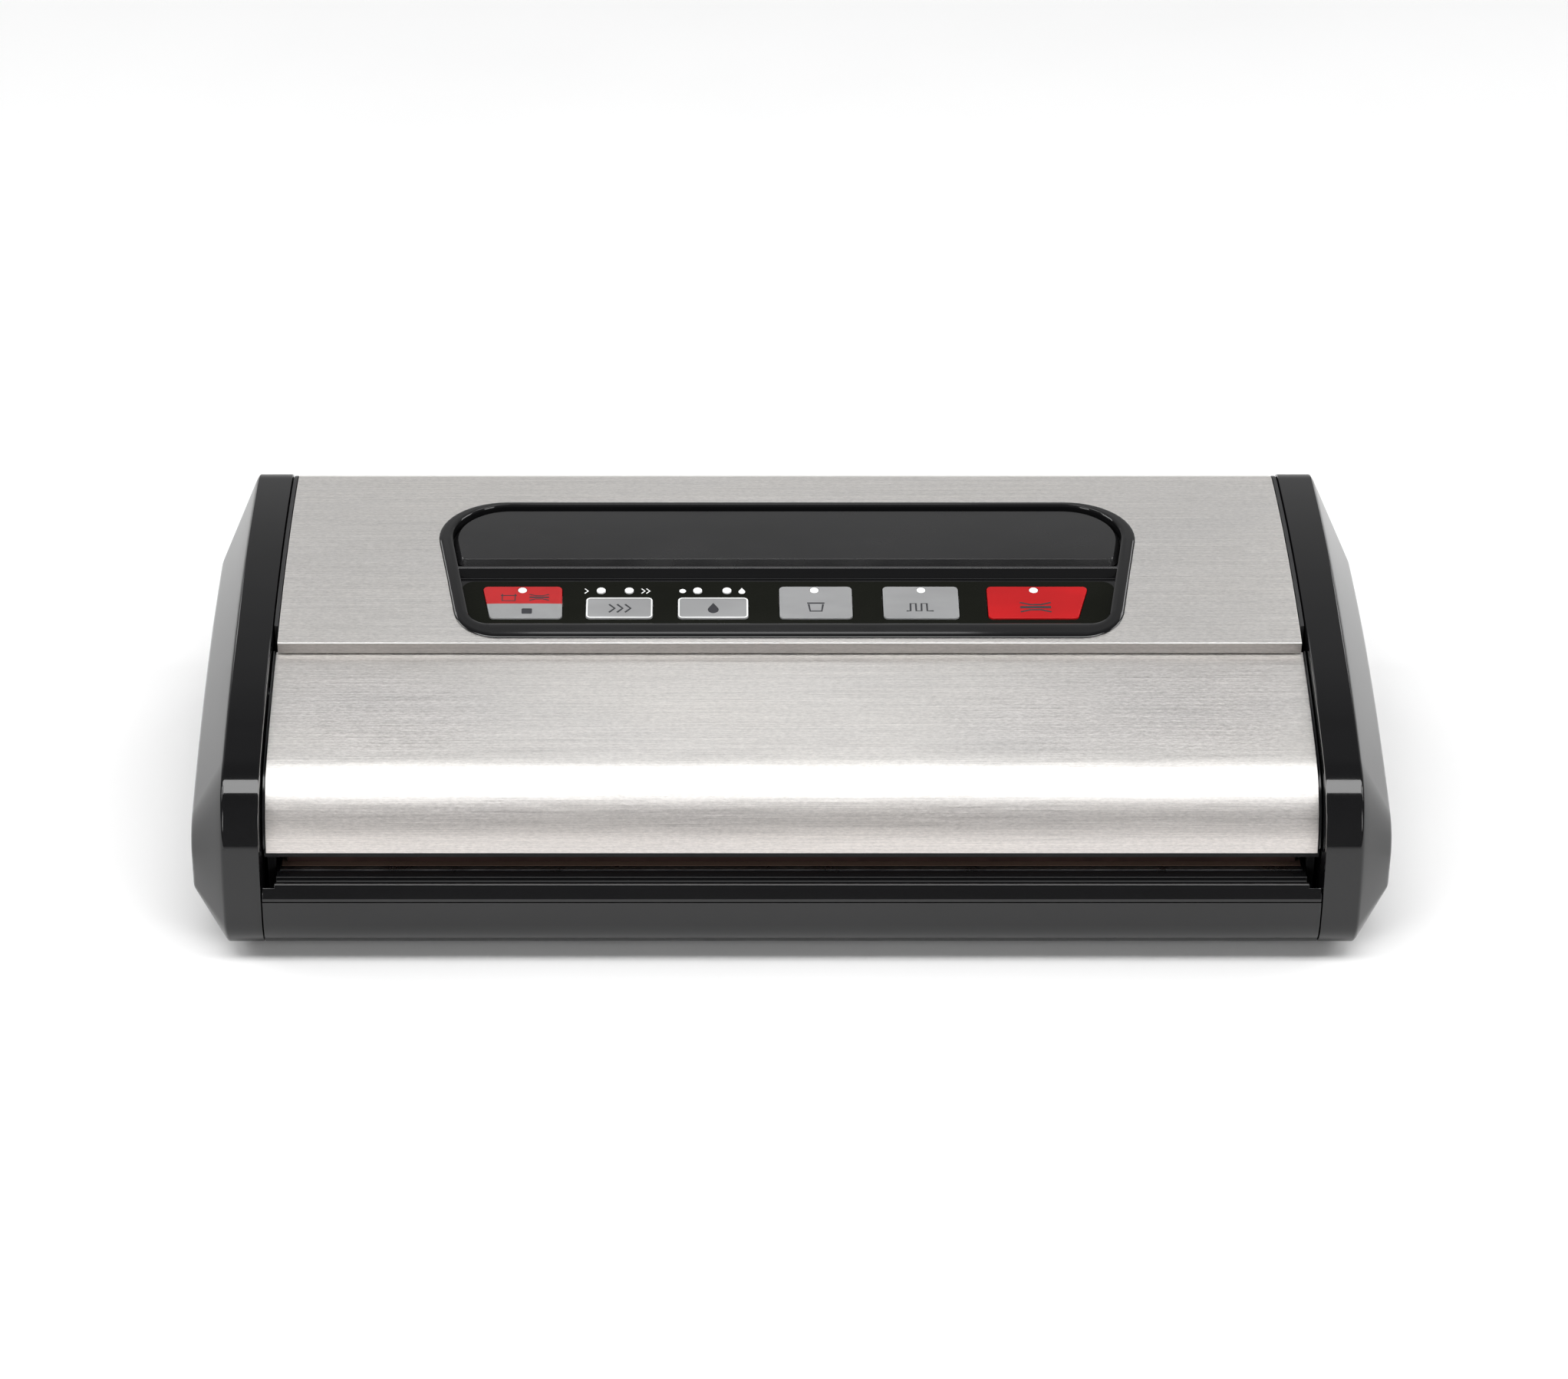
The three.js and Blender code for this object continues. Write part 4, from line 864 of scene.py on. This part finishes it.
def ink(name, shapes, depth, body, slot, finish):
    """Flat printed shapes on the curved top, as one thin piece."""
    vertices, faces = [], []
    for outline in shapes:
        count, start = len(outline), len(vertices)
        vertices += on_top(outline, depth + INK) + on_top(outline, depth - INK)
        faces.append(tuple(range(start, start + count)))
        faces.append(tuple(range(start + count, start + 2 * count)))
        for i in range(count):
            j = (i + 1) % count
            faces.append((start + i, start + j, start + j + count, start + i + count))
    made = piece_from(name, vertices, faces)
    return place(made, body, slot, finish)


def stroke(points, width):
    """An open line of a given width as one outline."""
    left, right = [], []
    for i, point in enumerate(points):
        before = Vector(points[max(i - 1, 0)])
        after = Vector(points[min(i + 1, len(points) - 1)])
        along = (after - before).normalized()
        side = Vector((-along.y, along.x)) * width / 2
        left.append(tuple(Vector(point) + side))
        right.append(tuple(Vector(point) - side))
    return left + right[::-1]


def bag_icon(x, y, size):
    """A bag with a drawn line across its mouth."""
    w, h = size * 0.5, size * 0.42
    sides = [[(x - w, y + h), (x - w, y - h), (x + w, y - h), (x + w, y + h)]]
    mouth = [[(x - w * 1.25, y + h * 0.55), (x + w * 1.25, y + h * 0.55)]]
    return [stroke(line, size * 0.1) for line in sides + mouth]


def square_icon(x, y, size):
    """A filled square, for stop."""
    return [rectangle(x - size / 2, x + size / 2, y - size * 0.4, y + size * 0.4, size * 0.12, 3)]


def chevrons_icon(x, y, size, count):
    """Chevrons in a row: more of them stand for a higher speed."""
    half = size * 0.4
    starts = [x + (i - (count - 1) / 2) * size * 0.5 - size * 0.15 for i in range(count)]
    return [stroke([(a, y + half), (a + size * 0.35, y), (a, y - half)], size * 0.13) for a in starts]


def drop_icon(x, y, size):
    """A drop, for moist food."""
    round_part = arc((x, y - size * 0.12), size * 0.32, 150, 390, 16)
    return [[*round_part, (x, y + size * 0.5)]]


def cup_icon(x, y, size):
    """A canister with its lid."""
    w, h = size * 0.42, size * 0.4
    foot, brim = w * 0.8, y + h * 0.6
    body = [(x - w, brim), (x - foot, y - h), (x + foot, y - h), (x + w, brim)]
    return [stroke(body, size * 0.11), rectangle(x - w * 1.2, x + w * 1.2, y + h * 0.72, y + h)]


def pulse_icon(x, y, size):
    """A square wave."""
    h, step = size * 0.32, size * 0.3
    xs = [x + step * (i - 2) for i in range(5)]
    line = [(xs[0] - step * 0.7, y - h)]
    for i in range(4):
        level = y - h if i % 2 == 0 else y + h
        other = y + h if i % 2 == 0 else y - h
        line += [(xs[i] + step * 0.02, level), (xs[i] + step * 0.05, other)]
    line.append((xs[4] + step * 0.2, y - h))
    return [stroke(line, size * 0.1)]


def seam_icon(x, y, size):
    """Two layers pressed together on a line."""
    w, h = size * 0.7, size * 0.34
    neck = w * 0.35
    shapes = [stroke([(x - w, y), (x + w, y)], size * 0.16)]
    for side in (-1, 1):
        far, near = y + side * h, y + side * h * 0.55
        points = [(x - w, far), (x - neck, near), (x + neck, near), (x + w, far)]
        shapes.append(stroke(points, size * 0.09))
    return shapes


# ---- Finishes -------------------------------------------------------------------------------------
STEEL_TONE, STEEL_ROUGH = (0.86, 0.84, 0.82), 0.38
GREY_TONE, RED_TONE = (0.27, 0.272, 0.275), (0.42, 0.004, 0.006)
SPLIT_Y = 5.1  # where the vacuum key's red half meets its grey half

# The lid's steel keeps fold at 1, so its front faces get only the painted warm reflection tint.
STEEL = brushed_steel("brushed_steel", STEEL_TONE, STEEL_ROUGH)
# A darker copy of the steel for the rear sheet: painted shade on its fold face, which faces the front.
STEEL_WITH_FOLD_SHADE = brushed_steel("brushed_steel_painted_fold_shade", STEEL_TONE, STEEL_ROUGH, 0.6)
GLOSS = moulded("gloss_black_plastic", (0.006, 0.006, 0.0065), 0.07, texture=0.02, wear=0.1)
LID_PLASTIC = moulded("lid_black_plastic", (0.008, 0.008, 0.009), 0.16, texture=0.05)
MATT = moulded("matt_black_plastic", (0.016, 0.016, 0.017), 0.5, texture=0.25, cells=2.2, wear=0.3)
PLATE = moulded("plate_grey_plastic", (0.011, 0.011, 0.0115), 0.24, texture=0.04, wear=0.1)
LABEL = moulded("label_film", (0.004, 0.0045, 0.0025), 0.26, cells=1.5, wear=0.05, specular=0.08)
KEY_GREY = moulded("key_grey_film", GREY_TONE, 0.42, texture=0.12, cells=1.5, wear=0.1, specular=0.3)
KEY_RED = moulded("key_red_film", RED_TONE, 0.42, texture=0.12, cells=1.5, wear=0.1, specular=0.2)
KEY_SPLIT = split_film("key_red_and_grey_film", GREY_TONE, RED_TONE, SPLIT_Y)
LAMP = moulded("lamp_white", (0.92, 0.93, 0.92), 0.3, texture=0.05, cells=1.5, wear=0.0)
INK_DARK = moulded("ink_dark", (0.02, 0.02, 0.025), 0.5, cells=1.5, wear=0.0)
INK_WHITE = moulded("ink_white", (0.82, 0.83, 0.82), 0.5, cells=1.5, wear=0.0)
RUBBER = rubbery("rubber_black", (0.012, 0.012, 0.013))
SILICONE = rubbery("silicone_dark", (0.04, 0.016, 0.012), 0.6)
TAPE = moulded("ptfe_tape", (0.13, 0.085, 0.065), 0.34, texture=0.3, wear=0.1)
ZINC = bare_metal("zinc_steel", (0.58, 0.58, 0.6), 0.34)
ALUMINIUM = bare_metal("aluminium", (0.72, 0.72, 0.74), 0.3, lines=(0.2, 8.0, 8.0))
NICHROME = bare_metal("nichrome", (0.42, 0.38, 0.36), 0.4, lines=(0.2, 9.0, 9.0))
COPPER = bare_metal("copper_windings", (0.72, 0.31, 0.15), 0.35, lines=(0.5, 0.5, 5.0))
BOARD = moulded("board_green", (0.012, 0.09, 0.03), 0.35, texture=0.3, cells=1.0, wear=0.4)
HOSE = rubbery("hose_clear", (0.55, 0.55, 0.5), 0.45)


# ---- The machine ----------------------------------------------------------------------------------
for name, side in SIDES.items():
    end_cap(name, side, GLOSS)
rear_panel(STEEL_WITH_FOLD_SHADE)
lid_cover(STEEL)

keypad_surround(GLOSS)
window_plate(PLATE)
key_label(LABEL)
RED_KEYS = {"vacuum_seal_key": KEY_SPLIT, "seal_key": KEY_RED}
for node in KEYS:
    slot = "key_red" if node in RED_KEYS else "key_grey"
    key_cap(node, slot, RED_KEYS.get(node, KEY_GREY))
for node in ("speed_key", "food_key"):
    key_border(node, "lamp_white", INK_WHITE)

ICON_Y = 2.6
ICONS = {
    "vacuum_seal_key": [
        *bag_icon(-91.5, 8.4, 4.2),
        *seam_icon(-81.5, 8.4, 4.6),
        *square_icon(-85.4, 1.2, 3.4),
    ],
    "speed_key": chevrons_icon(-55.2, ICON_Y, 5.2, 3),
    "food_key": drop_icon(-24.6, ICON_Y, 5.6),
    "canister_key": cup_icon(8.9, ICON_Y + 0.8, 5.6),
    "pulse_key": pulse_icon(43.3, ICON_Y + 0.6, 6.0),
    "seal_key": seam_icon(80.6, ICON_Y + 0.6, 7.2),
}
for node, shapes in ICONS.items():
    ink(node + "_icon", shapes, KEY_TOP, node, "overlay_black", INK_DARK)
LABEL_ICONS = [
    *chevrons_icon(-66.2, LAMP_Y, 3.2, 1),
    *chevrons_icon(-46.8, LAMP_Y, 3.2, 2),
    circle(1.1, -34.6, LAMP_Y, 20),
    *drop_icon(-15.2, LAMP_Y, 3.4),
]
ink("panel_overlay_icons", LABEL_ICONS, PANEL_FLOOR, "housing", "lamp_white", INK_WHITE)

# CAD nodes shown in their own shape: slot, finish and edge radius
REFINED = {
    "base_shell": ("gloss_black", GLOSS, 0.25),
    "lower_deck": ("gloss_black", GLOSS, 0.2),
    "trough_pan": ("matte_black", MATT, 0.3),
    "rear_housing": ("matte_black", MATT, 0.2),
    "lid_frame": ("gloss_black", LID_PLASTIC, 0.2),
    "lid_floor": ("matte_black", MATT, 0.25),
    "lower_gasket": ("rubber_black", RUBBER, 0.8),
    "upper_gasket": ("rubber_black", RUBBER, 0.8),
    "pressure_strip": ("silicone_red", SILICONE, 0.7),
    "heater_bar": ("aluminium", ALUMINIUM, 0.3),
    "heating_element": ("nichrome", NICHROME, 0.08),
    "ptfe_tape": ("ptfe_brown", TAPE, 0.08),
    "light_guide": ("lamp_white", LAMP, 0.12),
    "control_board": ("board_green", BOARD, 0.15),
    "power_board": ("board_green", BOARD, 0.3),
    "mains_inlet": ("matte_black", MATT, 0.4),
    "transformer_core": ("zinc_steel", ZINC, 0.4),
    "transformer_coil": ("copper", COPPER, 1.0),
    "suction_hose": ("hose_clear", HOSE, 0.15),
    "valve_hose": ("hose_clear", HOSE, 0.15),
}
MATT_PARTS = ("_latch_hook", "_latch_pawl", "_port", "pump_head", "lid_switch", "_hinge_bush")


def refined_row(node):
    """The slot, finish and edge radius of a CAD node."""
    if node in REFINED:
        return REFINED[node]
    if node.endswith("_foot"):
        return "rubber_black", RUBBER, 0.5
    if node.endswith(MATT_PARTS):
        return "matte_black", MATT, 0.25
    return "zinc_steel", ZINC, 0.3


for node, shown in frame["nodes"].items():
    if not shown.hide_render:
        refine(node, *refined_row(node))


# ---- Floor, light and camera (metres) -------------------------------------------------------------
FLOOR_REACH = 4.0
AIM = (0, 0, 0.05)
# Lights as (name, centre, target, size, watts); those in PAIRED_LIGHTS stand on both sides
LIGHTS = [
    ("overhead_softbox", (0, -0.36, 1.1), (0, -0.09, 0.05), (1.6, 0.33), 12),
    ("back_panel", (0, 0.66, 1.03), AIM, (0.26, 0.18), 0.3),
]
PAIRED_LIGHTS = [
    ("side_softbox", (1.65, 0.2, 0.95), (0, 0, 0), (0.8, 0.8), 10),
    ("rear_softbox", (0.95, 1.2, 1.35), AIM, (0.7, 0.5), 4),
    ("front_fill", (1.3, -1.5, 0.9), (0, 0, 0.02), (0.7, 0.7), 8),
]
# Brightness of the room as (share of the way from the front to the back, level)
ROOM = [
    (0.0, 0.16),
    (0.25, 0.1),
    (0.6, 0.1),
    (0.735, 0.17),
    (0.8, 0.33),
    (0.835, 0.37),
    (0.905, 0.46),
    (1.0, 0.65),
]
CAMERA_AT = (-0.0293, -1.26816, 0.8749)
CAMERA_DOWN = 33.2  # degrees below the horizontal
CAMERA_LENS, CAMERA_SENSOR, CAMERA_SHIFT = 105.68, 36, 0.0543


def add_to_scene(name, data):
    made = bpy.data.objects.new(name, data)
    bpy.context.scene.collection.objects.link(made)
    return made


def emitter(name, centre, target, size, watts):
    lamp = bpy.data.lights.new(name, "AREA")
    lamp.shape = "RECTANGLE"
    lamp.size, lamp.size_y = size
    lamp.energy = watts
    holder = add_to_scene(name, lamp)
    holder.location = centre
    holder.rotation_euler = (Vector(target) - Vector(centre)).to_track_quat("-Z", "Y").to_euler()


def paper_floor():
    reach = FLOOR_REACH / MM
    corners = [(x, y, 0) for x, y in rectangle(-reach, reach, -reach, reach)]
    floor = piece_from("floor", corners, [(0, 1, 2, 3)])
    paper = Material("paper", Roughness=0.9)
    tone = paper.noise((0.004, 0.004, 0.004), 3.0)
    pale = paper.ramp(tone, (0.3, (0.93, 0.93, 0.93)), (0.7, (0.96, 0.96, 0.96)))
    paper.drive("Base Color", pale)
    floor.data.materials.append(paper.material)


def room():
    """A plain room that is brighter behind the machine."""
    world = bpy.data.worlds.new("studio")
    world.use_nodes = True
    nodes, links = world.node_tree.nodes, world.node_tree.links
    towards = nodes.new("ShaderNodeSeparateXYZ")
    links.new(nodes.new("ShaderNodeTexCoord").outputs["Generated"], towards.inputs[0])
    spread = nodes.new("ShaderNodeMapRange")
    spread.inputs["From Min"].default_value = -1
    links.new(towards.outputs["Y"], spread.inputs["Value"])
    walls = nodes.new("ShaderNodeValToRGB")
    links.new(spread.outputs["Result"], walls.inputs["Fac"])
    elements = walls.color_ramp.elements
    while len(elements) < len(ROOM):
        elements.new(0.5)
    for element, (position, level) in zip(elements, ROOM):
        element.position = position
        element.color = (level, level, level, 1)
    links.new(walls.outputs["Color"], nodes["Background"].inputs["Color"])
    bpy.context.scene.world = world
    bpy.context.scene.view_settings.view_transform = "Standard"


def studio():
    paper_floor()
    for light in LIGHTS:
        emitter(*light)
    for side in SIDES.values():
        for name, (x, y, z), target, size, watts in PAIRED_LIGHTS:
            emitter(name, (side * x, y, z), target, size, watts)
    room()


def camera():
    lens = bpy.data.cameras.new("camera")
    lens.sensor_width = CAMERA_SENSOR
    lens.lens = CAMERA_LENS
    lens.shift_x = CAMERA_SHIFT
    holder = add_to_scene("camera", lens)
    holder.location = CAMERA_AT
    holder.rotation_euler = (math.radians(90 - CAMERA_DOWN), 0, 0)
    bpy.context.scene.camera = holder


studio()
camera()
